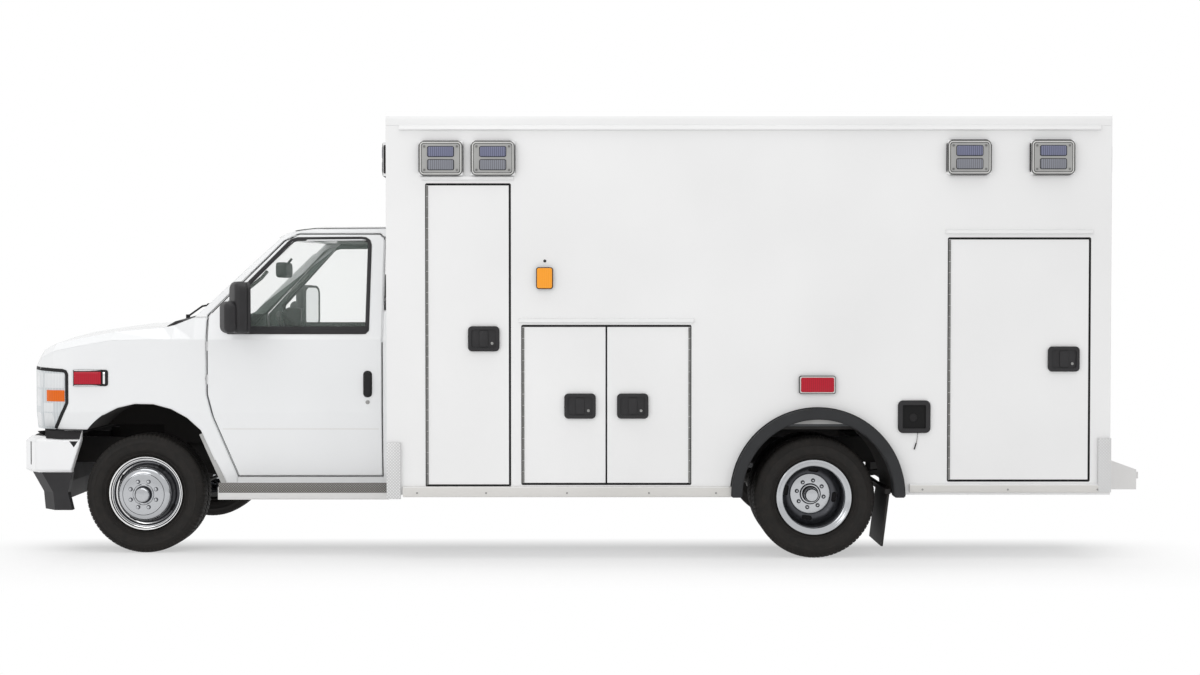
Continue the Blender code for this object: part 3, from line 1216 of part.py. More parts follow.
def make_dashboard():
    """The dashboard on the firewall, with the column and steering wheel."""
    wall_x = cab_point((FIREWALL_SHARE, 0))[0] + FIREWALL_THICKNESS + SEAT_GAP
    low = DASH_TOP - DASH_DEPTH
    half = DASH_DEPTH / 2
    outline = [(wall_x, low + half / 4), (DASH_REAR_X - half, low), (DASH_REAR_X, low + half),
               (DASH_REAR_X, DASH_TOP - half / 2), (DASH_REAR_X - half / 2, DASH_TOP),
               (wall_x, DASH_TOP)]
    dash = along_y(outline, -DASH_HALF_WIDTH, DASH_HALF_WIDTH)
    start = Vector((DASH_REAR_X - half / 2, COLUMN_Y, DASH_TOP - half))
    ahead = Vector((math.cos(COLUMN_TILT), 0, math.sin(COLUMN_TILT)))
    hub = start + ahead * (COLUMN_LENGTH + half / 2)
    column = tube([start, hub], COLUMN_RADIUS, PIN_SIDES)
    up = Vector((-ahead.z, 0, ahead.x))
    across = Vector((0, 1, 0))
    ring = [hub + (up * a + across * b)
            for a, b in ring_points((0, 0), WHEEL_RING_RADIUS, WHEEL_RING_SIDES)]
    points = []
    for point in ring:
        out = (point - hub).normalized()
        points += [tuple(point + out * a + ahead * b)
                   for a, b in ring_points((0, 0), WHEEL_RING_THICKNESS, 6)]
    count = len(ring)
    faces = [(6 * i + k, 6 * i + (k + 1) % 6, 6 * ((i + 1) % count) + (k + 1) % 6,
              6 * ((i + 1) % count) + k) for i in range(count) for k in range(6)]
    rim = mesh_object("shape", points, faces)
    spoke = tube([hub - across * WHEEL_RING_RADIUS, hub + across * WHEEL_RING_RADIUS],
                 WHEEL_RING_THICKNESS, 6)
    drop = tube([hub, hub - up * WHEEL_RING_RADIUS], WHEEL_RING_THICKNESS, 6)
    return node("dashboard", add(dash, column, spoke, drop, rim), GREY_TRIM)


def make_seat(side_name, side):
    """A cab seat on its base, with an upright back."""
    floor = CAB_FLOOR_BOTTOM + CAB_FLOOR_THICKNESS + SEAT_GAP
    top = floor + SEAT_BASE_HEIGHT + SEAT_CUSHION_HEIGHT
    back_front = SEAT_REAR_X - SEAT_BACK_THICKNESS
    front = SEAT_REAR_X - SEAT_LENGTH
    inset = SEAT_CUSHION_HEIGHT / 4
    outline = [(front + inset, floor), (SEAT_REAR_X - inset / 2, floor),
               (SEAT_REAR_X, floor + SEAT_BASE_HEIGHT),
               (SEAT_REAR_X, top + SEAT_BACK_HEIGHT - inset),
               (SEAT_REAR_X - inset, top + SEAT_BACK_HEIGHT),
               (back_front + inset, top + SEAT_BACK_HEIGHT),
               (back_front, top + SEAT_BACK_HEIGHT - inset), (back_front - inset, top),
               (front + inset, top), (front, top - inset),
               (front, floor + SEAT_BASE_HEIGHT), (front + inset, floor + SEAT_BASE_HEIGHT)]
    y = side * SEAT_Y
    seat = along_y(outline, y - SEAT_WIDTH / 2, y + SEAT_WIDTH / 2)
    return node("seat_" + side_name, seat, GREY_TRIM)


def make_mirror(side_name, side, door):
    """A door mirror on two arms."""
    rear_x = MIRROR_FRONT_X + MIRROR_LENGTH
    bevel = MIRROR_BEVEL
    plan = [(MIRROR_FRONT_X, MIRROR_INNER_Y + 2 * bevel),
            (MIRROR_FRONT_X + bevel, MIRROR_INNER_Y), (rear_x, MIRROR_INNER_Y),
            (rear_x, MIRROR_OUTER_Y), (MIRROR_FRONT_X + 2 * bevel, MIRROR_OUTER_Y),
            (MIRROR_FRONT_X, MIRROR_OUTER_Y - 2 * bevel)]
    small = grown(plan, -bevel / 2)
    head = loft([[(x, y, z) for x, y in outline] for outline, z in
                 ((small, MIRROR_BOTTOM), (plan, MIRROR_BOTTOM + bevel),
                  (plan, MIRROR_TOP - bevel), (small, MIRROR_TOP))])
    start_x = MIRROR_FRONT_X - MIRROR_ARM_REACH
    for height in MIRROR_ARM_HEIGHTS:
        arm = tube([(start_x, CAB_HALF_WIDTH - 2 * PANEL_THICKNESS, height),
                    (start_x, CAB_HALF_WIDTH, height),
                    (MIRROR_FRONT_X + 2 * bevel, MIRROR_INNER_Y + bevel, height)],
                   MIRROR_ARM_RADIUS, ROUND_SIDES)
        add(head, arm)
    if side == LEFT:
        head.data.transform(Matrix.Diagonal((1, -1, 1, 1)))
        head.data.flip_normals()
    cut(head, cab_body(-SEAT_GAP))
    return node("mirror_" + side_name, head, BLACK_PLASTIC, door.location, door)


# Body: floor, roof, walls and doors

WALL_THICKNESS = 0.05
FLOOR_THICKNESS = 0.08
FLOOR_TOP = BODY_FLOOR_BOTTOM + FLOOR_THICKNESS
ROOF_BOTTOM = 2.552
ROOF_EDGE = 0.035
ROOF_FALL = 0.012
LOCKER_DEPTH = 0.5
LOCKER_SHEET = 0.02
DOOR_THICKNESS = 0.045
BARREL_SPACE = 0.016
LATCH_GAP = 0.008
PAIR_GAP = 0.005
STEP_WELL_DEPTH = 0.32
BODY_ARCH_RADIUS = 0.45
BODY_ARCH_X = REAR_AXLE_X + 0.0145
FLARE_WIDTH = 0.06
FLARE_PROUD = 0.05
LAMP_PROUD = 0.03
FRAME_NOTCH_HALF_WIDTH = 0.66
MARKER_PROUD = 0.02
FILLER_PROUD = 0.008
RAIL_PROUD = 0.015
RAIL_SECTION = 0.019
TOP_RAIL_SECTION = 0.0257
SKIRT_RAIL_PROUD = 0.018
SKIRT_RAIL_HEIGHT = 0.045
HANDLE_WIDTH = 0.18
HANDLE_HEIGHT = 0.143
HANDLE_INSET = 0.065
HANDLE_PROUD = 0.01
PASSAGE_HALF_WIDTH = 0.4
PASSAGE_TOP = 1.85
REAR_OPENING_HALF_WIDTH = 0.64
REAR_OPENING_TOP = 2.25
REAR_WINDOW_LOW = 1.42
REAR_WINDOW_HIGH = 1.95
WINDOW_MARGIN = 0.13
BODY_GLASS_THICKNESS = 0.008
STEP_HALF_WIDTH = 1.08
STEP_BOTTOM = 0.396
STEP_LOW_TOP = 0.515
STEP_HIGH_TOP = 0.587
STEP_BUMPER_DEPTH = 0.045
STEP_BUMPER_BOTTOM = 0.45
STEP_BUMPER_HEIGHT = 0.04
FRONT = -1
REAR = 1

# Columns: name, start and end as shares of the body's length, bottom and top as
# shares of its height, hinged end, gap at the latch, handle's bottom share.
LEFT_DOORS = (
    ("locker_door_front", 0.0552, 0.1711, 0.0235, 0.8096, FRONT, LATCH_GAP, 0.3756),
    ("locker_door_middle_front", 0.1875, 0.3038, 0.0275, 0.4415, FRONT, PAIR_GAP, 0.2002),
    ("locker_door_middle_rear", 0.3038, 0.4201, 0.0275, 0.4415, REAR, PAIR_GAP, 0.2002),
    ("locker_door_rear", 0.7756, 0.9708, 0.0363, 0.6692, FRONT, LATCH_GAP, 0.3229))
RIGHT_DOORS = (
    ("locker_door_kerb_front", 0.0552, 0.1711, 0.0235, 0.8096, FRONT, LATCH_GAP, 0.3756),
    ("entry_door", 0.2050, 0.3950, 0.0235, 0.8400, FRONT, LATCH_GAP, 0.3000),
    ("locker_door_kerb_rear", 0.7756, 0.9708, 0.0363, 0.6692, FRONT, LATCH_GAP, 0.3229))
# Columns: start, end, bottom, top.
LEFT_LOCKERS = ((0.0552, 0.1711, 0.0235, 0.8096), (0.1875, 0.4201, 0.0275, 0.4415),
                (0.7756, 0.9708, 0.0363, 0.6692))
RIGHT_LOCKERS = ((0.0552, 0.1711, 0.0235, 0.8096), (0.7756, 0.9708, 0.0363, 0.6692))
# Columns: start, width as shares of the body's length, bottom, height, proud.
SIDE_BLOCKS = (
    (0.0463, 0.0600, 0.8308, 0.0899, LAMP_PROUD), (0.1179, 0.0600, 0.8308, 0.0899, LAMP_PROUD),
    (0.7724, 0.0600, 0.8335, 0.0890, LAMP_PROUD), (0.8871, 0.0600, 0.8335, 0.0890, LAMP_PROUD),
    (0.5705, 0.0485, 0.2657, 0.0434, MARKER_PROUD))
LEFT_BLOCKS = ((0.2081, 0.0212, 0.5385, 0.0531, MARKER_PROUD),
               (0.7065, 0.0442, 0.1621, 0.0841, FILLER_PROUD))
# Columns: start, end, bottom, section height.
LEFT_RAILS = ((0.0498, 0.1755, 0.8206, RAIL_SECTION), (0.1830, 0.4246, 0.4500, RAIL_SECTION),
              (0.7715, 0.9736, 0.6811, RAIL_SECTION), (0.0184, 0.9834, 0.9504, TOP_RAIL_SECTION))
RIGHT_RAILS = ((0.0498, 0.1755, 0.8206, RAIL_SECTION), (0.2000, 0.4000, 0.8520, RAIL_SECTION),
               (0.7715, 0.9736, 0.6811, RAIL_SECTION), (0.0184, 0.9834, 0.9504, TOP_RAIL_SECTION))
SKIRT_RAILS = ((0.0230, 0.4730, 0.0010), (0.7225, 0.9990, 0.0080))
# Columns: middle across as a share of the half width, width, bottom, height.
END_BLOCK_SHARES = ((0.84, 0.22, 0.8335, 0.0890), (0.84, 0.15, 0.34, 0.085),
                    (0.84, 0.15, 0.24, 0.085), (0.84, 0.15, 0.44, 0.085))


def body_x(share):
    """A place along the body's length."""
    return BODY_FRONT_X + BODY_LENGTH * share


def body_z(share):
    """A place up the body's height."""
    return SKIRT_HEIGHT + BODY_HEIGHT * share


def make_side_wall(side_name, side, doors, lockers, blocks, rails):
    """A side wall with its lockers, wheel arch and flare, lamps and rails."""
    outer = BODY_HALF_WIDTH
    inner = outer - WALL_THICKNESS
    sheet = LOCKER_SHEET
    wall = box(BODY_FRONT_X, BODY_REAR_X, inner, outer, SKIRT_HEIGHT, ROOF_BOTTOM - SEAT_GAP)
    depth = inner - LOCKER_DEPTH
    boxes = [box(body_x(start) - sheet, body_x(end) + sheet, depth - sheet,
                 outer - sheet, body_z(low) - sheet, body_z(high) + sheet)
             for start, end, low, high in lockers]
    hollows = [box(body_x(start), body_x(end), depth, outer + OVERRUN, body_z(low),
                   body_z(high)) for start, end, low, high in lockers]
    if side == RIGHT:
        start, end, low, high = doors[1][1:5]
        well = inner - STEP_WELL_DEPTH
        boxes.append(box(body_x(start) - sheet, body_x(end) + sheet, well - sheet,
                         outer - sheet, body_z(low) - sheet, FLOOR_TOP))
        hollows.append(box(body_x(start), body_x(end), well, inner + sheet, body_z(low),
                           FLOOR_TOP + OVERRUN))
        hollows.append(box(body_x(start), body_x(end), inner - sheet / 2, outer + OVERRUN,
                           body_z(low), body_z(high)))
        hollows[-2:] = [add(hollows[-2], hollows[-1])]
    add(wall, gather(*boxes))
    cut(wall, gather(*hollows))
    centre = (BODY_ARCH_X, SKIRT_HEIGHT)
    flare_arc = arc_points(centre, BODY_ARCH_RADIUS + FLARE_WIDTH, 0, 180, 14)
    flare = along_y(flare_arc, inner + WALL_THICKNESS / 2, outer + FLARE_PROUD)
    solids = [box(body_x(start), body_x(start + width), outer - sheet, outer + proud,
                  body_z(low), body_z(low + height))
              for start, width, low, height, proud in SIDE_BLOCKS + blocks]
    solids += [box(body_x(start), body_x(end), outer - sheet, outer + RAIL_PROUD,
                   body_z(low), body_z(low) + height) for start, end, low, height in rails]
    solids += [box(body_x(start), body_x(end), outer - sheet, outer + SKIRT_RAIL_PROUD,
                   body_z(low), body_z(low) + SKIRT_RAIL_HEIGHT)
               for start, end, low in SKIRT_RAILS]
    add(wall, flare, gather(*solids))
    arch = arc_points(centre, BODY_ARCH_RADIUS, 0, 180, 14)
    arch = [(BODY_ARCH_X + BODY_ARCH_RADIUS, 0)] + arch + [(BODY_ARCH_X - BODY_ARCH_RADIUS, 0)]
    cut(wall, along_y(arch, 0, outer + OVERRUN))
    if side == LEFT:
        put_left(wall)
    return node("module_wall_" + side_name, wall, WHITE_PAINT)


def hinge_barrel(x, y, z_low, z_high, leaf_end):
    """A full-height hinge barrel with its leaf towards the door."""
    low_x = min(x, leaf_end)
    high_x = max(x, leaf_end)
    leaf = box(low_x, high_x, y - LEAF_THICKNESS, y, z_low, z_high)
    return add(leaf, upright(x, y, z_low, z_high, HINGE_RADIUS))


def make_body_door(side, row):
    """A door of the body's side, with its hinge barrel and handle."""
    name, start, end, low, high, hinged, latch_gap, handle = row
    outer = BODY_HALF_WIDTH
    z_low = body_z(low) + LATCH_GAP
    z_high = body_z(high) - LATCH_GAP
    if hinged == FRONT:
        hinge_x = body_x(start) + HINGE_RADIUS + SEAT_GAP
        x_low, x_high = body_x(start) + BARREL_SPACE, body_x(end) - latch_gap
        handle_x = body_x(end) - HANDLE_INSET - HANDLE_WIDTH
        leaf_end = x_low + LEAF_THICKNESS
    else:
        hinge_x = body_x(end) - HINGE_RADIUS - SEAT_GAP
        x_low, x_high = body_x(start) + latch_gap, body_x(end) - BARREL_SPACE
        handle_x = body_x(start) + HANDLE_INSET
        leaf_end = x_high - LEAF_THICKNESS
    door = box(x_low, x_high, outer - DOOR_THICKNESS, outer, z_low, z_high)
    add(door, hinge_barrel(hinge_x, outer, z_low, z_high, leaf_end))
    grip = box(handle_x, handle_x + HANDLE_WIDTH, outer - HANDLE_PROUD, outer + HANDLE_PROUD,
               body_z(handle), body_z(handle) + HANDLE_HEIGHT)
    add(door, grip)
    if name == "entry_door":
        cut(door, box(x_low + WINDOW_MARGIN, x_high - WINDOW_MARGIN, outer - OVERRUN,
                      outer + OVERRUN, REAR_WINDOW_LOW, REAR_WINDOW_HIGH))
    if side == LEFT:
        put_left(door)
    made = node(name, door, WHITE_PAINT, (hinge_x, side * outer, z_low))
    if name == "entry_door":
        middle = outer - DOOR_THICKNESS / 2
        pane = box(x_low + WINDOW_MARGIN + SEAT_GAP, x_high - WINDOW_MARGIN - SEAT_GAP,
                   middle, middle + BODY_GLASS_THICKNESS, REAR_WINDOW_LOW + SEAT_GAP,
                   REAR_WINDOW_HIGH - SEAT_GAP)
        node("entry_glass", pane, CLEAR_GLASS, made.location, made)
    return made


def make_rear_door(side_name, side):
    """One of the two rear doors, with its window and glass."""
    outer = BODY_REAR_X
    hinge_y = REAR_OPENING_HALF_WIDTH - HINGE_RADIUS - SEAT_GAP
    y_high = REAR_OPENING_HALF_WIDTH - BARREL_SPACE
    z_low = FLOOR_TOP + LATCH_GAP
    z_high = REAR_OPENING_TOP - LATCH_GAP
    door = box(outer - DOOR_THICKNESS, outer, PAIR_GAP, y_high, z_low, z_high)
    leaf = box(outer - LEAF_THICKNESS, outer, y_high - LEAF_THICKNESS, hinge_y, z_low, z_high)
    add(door, leaf, upright(outer, hinge_y, z_low, z_high, HINGE_RADIUS))
    low_y, high_y = WINDOW_MARGIN + PAIR_GAP, y_high - WINDOW_MARGIN
    cut(door, box(outer - OVERRUN, outer + OVERRUN, low_y, high_y, REAR_WINDOW_LOW,
                  REAR_WINDOW_HIGH))
    grip = box(outer - HANDLE_PROUD, outer + HANDLE_PROUD, HANDLE_INSET,
               HANDLE_INSET + HANDLE_HEIGHT, body_z(0.3), body_z(0.3) + HANDLE_WIDTH)
    add(door, grip)
    middle = outer - DOOR_THICKNESS / 2
    pane = box(middle, middle + BODY_GLASS_THICKNESS, low_y + SEAT_GAP, high_y - SEAT_GAP,
               REAR_WINDOW_LOW + SEAT_GAP, REAR_WINDOW_HIGH - SEAT_GAP)
    if side == LEFT:
        put_left(door)
        put_left(pane)
    made = node("rear_door_" + side_name, door, WHITE_PAINT, (outer, side * hinge_y, z_low))
    node("rear_glass_" + side_name, pane, CLEAR_GLASS, made.location, made)


def make_end_wall(name, x_low, opening_half, opening_low, opening_high, block_side):
    """The front or rear wall between the side walls, with one opening."""
    half = BODY_HALF_WIDTH - WALL_THICKNESS - SEAT_GAP
    wall = box(x_low, x_low + WALL_THICKNESS, -half, half, SKIRT_HEIGHT,
               ROOF_BOTTOM - SEAT_GAP)
    outer = x_low if block_side == FRONT else x_low + WALL_THICKNESS
    shares = END_BLOCK_SHARES[:1] if block_side == FRONT else END_BLOCK_SHARES
    for middle, width, low, height in shares:
        y = middle * half
        sunk = outer - block_side * LOCKER_SHEET / 2
        proud = outer + block_side * LAMP_PROUD
        blocks = both(box(min(sunk, proud), max(sunk, proud), y - width * half / 2,
                          y + width * half / 2, body_z(low), body_z(low + height)))
        add(wall, blocks)
    cut(wall, box(x_low - OVERRUN, x_low + OVERRUN, -opening_half, opening_half,
                  opening_low, opening_high))
    if block_side == FRONT:
        cut(wall, box(x_low - OVERRUN, x_low + OVERRUN, -FRAME_NOTCH_HALF_WIDTH,
                      FRAME_NOTCH_HALF_WIDTH, 0, (RAIL_TOP + BODY_FLOOR_BOTTOM) / 2))
    return node(name, wall, WHITE_PAINT)


def make_floor():
    """The floor, notched round the lockers and the step well."""
    half = BODY_HALF_WIDTH - WALL_THICKNESS - SEAT_GAP
    floor = box(BODY_FRONT_X + WALL_THICKNESS + SEAT_GAP, BODY_REAR_X - WALL_THICKNESS - SEAT_GAP,
                -half, half, BODY_FLOOR_BOTTOM, FLOOR_TOP)
    sheet = LOCKER_SHEET + SEAT_GAP
    depth = half - LOCKER_DEPTH - sheet
    notches = [box(body_x(start) - sheet, body_x(end) + sheet, -BODY_HALF_WIDTH - OVERRUN,
                   -depth, 0, BODY_TOP) for start, end, low, high in LEFT_LOCKERS]
    notches += [box(body_x(start) - sheet, body_x(end) + sheet, depth,
                    BODY_HALF_WIDTH + OVERRUN, 0, BODY_TOP)
                for start, end, low, high in RIGHT_LOCKERS]
    start, end = RIGHT_DOORS[1][1:3]
    notches.append(box(body_x(start) - sheet, body_x(end) + sheet,
                       half - STEP_WELL_DEPTH - sheet, BODY_HALF_WIDTH + OVERRUN, 0, BODY_TOP))
    return node("module_floor", cut(floor, gather(*notches)), GREY_TRIM)


def make_roof():
    """The roof, with rounded edges and a slight fall to both sides."""
    half = BODY_HALF_WIDTH
    edge_top = BODY_TOP - ROOF_FALL
    right = [(half, ROOF_BOTTOM), (half, edge_top - ROOF_EDGE)]
    right += arc_points((half - ROOF_EDGE, edge_top - ROOF_EDGE), ROOF_EDGE, 30, 90, 2)
    left = [(-y, z) for y, z in reversed(right)]
    section = right + [(0, BODY_TOP)] + left
    return node("module_roof", along_x(section, BODY_FRONT_X, BODY_REAR_X), WHITE_PAINT)


def make_rear_step():
    """The rear step with its sloping tread and rubber bumper."""
    x = BODY_REAR_X + SEAT_GAP
    end = BODY_REAR_X + STEP_REACH - STEP_BUMPER_DEPTH
    outline = [(x, STEP_BOTTOM), (end, STEP_BOTTOM), (end, STEP_LOW_TOP), (x, STEP_HIGH_TOP)]
    step = along_y(outline, -STEP_HALF_WIDTH, STEP_HALF_WIDTH)
    bumper = box(end - STEP_BUMPER_DEPTH, BODY_REAR_X + STEP_REACH, -STEP_HALF_WIDTH * 0.9,
                 STEP_HALF_WIDTH * 0.9, STEP_BUMPER_BOTTOM,
                 STEP_BUMPER_BOTTOM + STEP_BUMPER_HEIGHT)
    return node("rear_step", add(step, bumper), BARE_ALUMINIUM)


# The vehicle

def build_vehicle():
    """Makes every piece of the vehicle."""
    make_chassis_frame()
    make_engine()
    make_fuel_tank()
    make_exhaust()
    make_front_axle()
    make_rear_axle()
    for side_name, side in SIDES:
        knuckle = make_knuckle(side_name, side)
        wheel = make_front_wheel(side_name, side, knuckle)
        make_tyre("tyre_front_" + side_name, FRONT_AXLE_X, FRONT_TRACK / 2, side, wheel)
        if side == LEFT:
            make_tie_rod(knuckle)
        wheel = make_rear_wheel(side_name, side)
        for place, way in (("outer", 1), ("inner", -1)):
            make_tyre("tyre_rear_" + side_name + "_" + place, REAR_AXLE_X,
                      REAR_TRACK / 2 + way * TWIN_SPACING / 2, side, wheel)
    make_cab_shell()
    make_front_clip()
    make_grille()
    make_hood()
    make_windscreen()
    make_dashboard()
    make_front_bumper()
    make_bumper_valance()
    for side_name, side in SIDES:
        make_headlamp(side_name, side)
        make_seat(side_name, side)
        make_running_board(side_name, side)
        door = make_cab_door(side_name, side)
        make_cab_glass(side_name, side, door)
        make_mirror(side_name, side, door)
    make_floor()
    make_roof()
    make_side_wall("left", LEFT, LEFT_DOORS, LEFT_LOCKERS, LEFT_BLOCKS, LEFT_RAILS)
    make_side_wall("right", RIGHT, RIGHT_DOORS, RIGHT_LOCKERS, (), RIGHT_RAILS)
    make_end_wall("module_wall_front", BODY_FRONT_X, PASSAGE_HALF_WIDTH, FLOOR_TOP,
                  PASSAGE_TOP, FRONT)
    make_end_wall("module_wall_rear", BODY_REAR_X - WALL_THICKNESS, REAR_OPENING_HALF_WIDTH,
                  FLOOR_TOP, REAR_OPENING_TOP, REAR)
    for row in LEFT_DOORS:
        make_body_door(LEFT, row)
    for row in RIGHT_DOORS:
        make_body_door(RIGHT, row)
    for side_name, side in SIDES:
        make_rear_door(side_name, side)
    make_rear_step()


build_vehicle()
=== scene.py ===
# Ambulance: a white box body on a van cutaway chassis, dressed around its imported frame.
import json
import math

import bpy
from mathutils import Matrix, Vector

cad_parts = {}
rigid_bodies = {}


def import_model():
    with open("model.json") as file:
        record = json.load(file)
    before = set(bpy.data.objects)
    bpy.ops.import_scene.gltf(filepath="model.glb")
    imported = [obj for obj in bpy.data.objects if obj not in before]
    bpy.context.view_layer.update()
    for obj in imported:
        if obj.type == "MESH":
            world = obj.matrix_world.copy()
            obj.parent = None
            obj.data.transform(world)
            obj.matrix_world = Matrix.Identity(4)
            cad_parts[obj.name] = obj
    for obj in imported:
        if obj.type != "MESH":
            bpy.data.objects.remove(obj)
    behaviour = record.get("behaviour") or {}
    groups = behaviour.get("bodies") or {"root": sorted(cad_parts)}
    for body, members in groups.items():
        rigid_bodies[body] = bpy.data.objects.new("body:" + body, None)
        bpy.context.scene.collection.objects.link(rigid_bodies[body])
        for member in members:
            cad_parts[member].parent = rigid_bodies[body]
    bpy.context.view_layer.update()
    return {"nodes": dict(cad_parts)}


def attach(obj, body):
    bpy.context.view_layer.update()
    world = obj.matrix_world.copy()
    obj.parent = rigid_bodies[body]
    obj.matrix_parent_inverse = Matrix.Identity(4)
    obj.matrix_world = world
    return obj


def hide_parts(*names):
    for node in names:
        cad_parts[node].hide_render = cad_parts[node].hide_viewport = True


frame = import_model()
nodes = frame["nodes"]
for thing in bpy.data.objects:
    thing.select_set(False)
print("frame loaded:", len(nodes), "nodes")

# the places that pieces share, in metres
wallY = 1.22
axleZ = 0.3589
frontAxleX = -2.5925
rearAxleX = 1.4205
frontTrackY = 0.8815
rearTrackY = 0.961
left, right = -1, 1
sides = (("left", left), ("right", right))
root = "vehicle"


# colour and material helpers

def linear(hexCode):
    # sRGB hex to linear, as the shader wants it
    values = [int(hexCode[i:i + 2], 16) / 255 for i in (0, 2, 4)]
    return tuple(v / 12.92 if v <= 0.04045 else ((v + 0.055) / 1.055) ** 2.4
                 for v in values) + (1.0,)


def addNode(tree, kind, links=(), **settings):
    # adds one node, sets its attributes or input values, and links (output, input) pairs
    item = tree.nodes.new(kind)
    for key, value in settings.items():
        if hasattr(item, key):
            setattr(item, key, value)
        else:
            item.inputs[key.replace("_", " ")].default_value = value
    for output, socket in links:
        tree.links.new(output, item.inputs[socket])
    return item


def startMaterial(name, colour, roughness, metallic=0.0, **sockets):
    # a principled material with constants on its sockets
    mat = bpy.data.materials.new(name)
    mat.use_nodes = True
    shader = mat.node_tree.nodes["Principled BSDF"]
    shader.inputs["Base Color"].default_value = linear(colour)
    shader.inputs["Roughness"].default_value = roughness
    shader.inputs["Metallic"].default_value = metallic
    for key, value in sockets.items():
        shader.inputs[key.replace("_", " ")].default_value = value
    mat.diffuse_color = linear(colour)
    return mat, mat.node_tree, shader


def mixColours(tree, shader, factor, first, second):
    # drives the base colour between two sRGB colours
    mix = addNode(tree, "ShaderNodeMix", data_type="RGBA")
    mix.inputs["A"].default_value = linear(first)
    mix.inputs["B"].default_value = linear(second)
    tree.links.new(factor, mix.inputs["Factor"])
    tree.links.new(mix.outputs["Result"], shader.inputs["Base Color"])
    return mix


def noiseOn(tree, size, detail=3.0, stretch=(1, 1, 1)):
    # noise whose blotches are about one size across, in metres, on Object coordinates
    coords = addNode(tree, "ShaderNodeTexCoord")
    mapping = addNode(tree, "ShaderNodeMapping", [(coords.outputs["Object"], "Vector")])
    mapping.inputs["Scale"].default_value = stretch
    return addNode(tree, "ShaderNodeTexNoise", [(mapping.outputs["Vector"], "Vector")],
                   Scale=1 / size, Detail=detail).outputs["Fac"]


def remap(tree, output, low, high, toLow, toHigh):
    item = addNode(tree, "ShaderNodeMapRange", [(output, "Value")])
    for key, value in (("From Min", low), ("From Max", high), ("To Min", toLow),
                       ("To Max", toHigh)):
        item.inputs[key].default_value = value
    return item.outputs["Result"]


def addBump(tree, shader, height, depth, strength=1.0):
    bump = addNode(tree, "ShaderNodeBump", [(height, "Height")])
    bump.inputs["Distance"].default_value = depth
    bump.inputs["Strength"].default_value = strength
    tree.links.new(bump.outputs["Normal"], shader.inputs["Normal"])


# materials, each named for what the real surface is

def enamel(name, colour, shade, roughness):
    # sprayed two-pack enamel: even colour, faint orange peel, a trace of road dust
    mat, tree, shader = startMaterial(name, colour, roughness, Coat_Weight=0.6,
                                      Coat_Roughness=0.08)
    mixColours(tree, shader, remap(tree, noiseOn(tree, 0.9, 2.0), 0.35, 0.7, 0, 1), colour, shade)
    addBump(tree, shader, noiseOn(tree, 0.006, 1.0), 0.00003)  # drawn coarse enough to show
    return mat


def moulding(name, colour, shade, roughness, grain=0.0012, depth=0.0001):
    # moulded polypropylene or ABS: dull, with a fine leather grain
    mat, tree, shader = startMaterial(name, colour, roughness, Specular_IOR_Level=0.4)
    mixColours(tree, shader, remap(tree, noiseOn(tree, 0.12), 0.3, 0.7, 0, 1), colour, shade)
    addBump(tree, shader, noiseOn(tree, grain * 2, 2.0), depth)
    return mat


def tyreRubber(name, colour, shade):
    # carbon-black rubber: dull, a little dusty, with a fine mould grain
    mat, tree, shader = startMaterial(name, colour, 0.72, Specular_IOR_Level=0.35)
    mixColours(tree, shader, remap(tree, noiseOn(tree, 0.05, 4.0), 0.4, 0.75, 0, 1), colour, shade)
    addBump(tree, shader, noiseOn(tree, 0.004, 3.0), 0.0002)
    return mat


def uneven(tree, shader, noise, high, least, most):
    # drives the roughness between two values by a noise
    tree.links.new(remap(tree, noise, 0.3, high, least, most), shader.inputs["Roughness"])


def polished(name, colour, roughness):
    # polished metal: mirror-like with fine polishing marks
    mat, tree, shader = startMaterial(name, colour, roughness, 1.0)
    uneven(tree, shader, noiseOn(tree, 0.01), 0.7, roughness * 0.8, roughness * 1.3)
    return mat


def calc(tree, operation, *values):
    # one Math node whose inputs are sockets or plain numbers
    item = tree.nodes.new("ShaderNodeMath")
    item.operation = operation
    for i, value in enumerate(values):
        if hasattr(value, "is_output"):
            tree.links.new(value, item.inputs[i])
        else:
            item.inputs[i].default_value = value
    return item.outputs[0]


def product(tree, first, *others):
    for value in others:
        first = calc(tree, "MULTIPLY", first, value)
    return first


def below(tree, value, limit):
    return calc(tree, "LESS_THAN", value, limit)


def above(tree, value, limit):
    return calc(tree, "GREATER_THAN", value, limit)


def treadPlate(name, colour, shade, pitch=0.036, topOnly=False):
    # aluminium tread plate: lozenges in two directions, one at each pitch
    mat, tree, shader = startMaterial(name, colour, 0.42, 0.35)
    coords = addNode(tree, "ShaderNodeTexCoord")
    split = addNode(tree, "ShaderNodeSeparateXYZ", [(coords.outputs["Object"], "Vector")])
    across = calc(tree, "ADD", split.outputs["Y"], split.outputs["Z"])
    waves = []
    for sign in (1, -1):
        total = calc(tree, "ADD", split.outputs["X"], product(tree, across, sign))
        waves.append(calc(tree, "SINE", product(tree, total, 2 * math.pi / pitch)))
    lozenge = remap(tree, calc(tree, "ABSOLUTE", product(tree, *waves)), 0.30, 0.80, 0, 1)
    if topOnly:
        # the pattern only on faces that look up; the folded sides are plain
        facing = addNode(tree, "ShaderNodeSeparateXYZ", [(coords.outputs["Normal"], "Vector")])
        lozenge = product(tree, lozenge, above(tree, facing.outputs["Z"], 0.6))
    mixColours(tree, shader, lozenge, colour, shade)
    addBump(tree, shader, lozenge, 0.0005)
    return mat


def clearGlass(name, colour, alpha, roughness=0.02):
    # flat toughened glass, seen through with its own faint tint
    mat, tree, shader = startMaterial(name, colour, roughness, Alpha=alpha, IOR=1.45,
                                      Specular_IOR_Level=0.15)
    uneven(tree, shader, noiseOn(tree, 0.25, 2.0), 0.8, roughness, roughness * 2.5)
    return mat


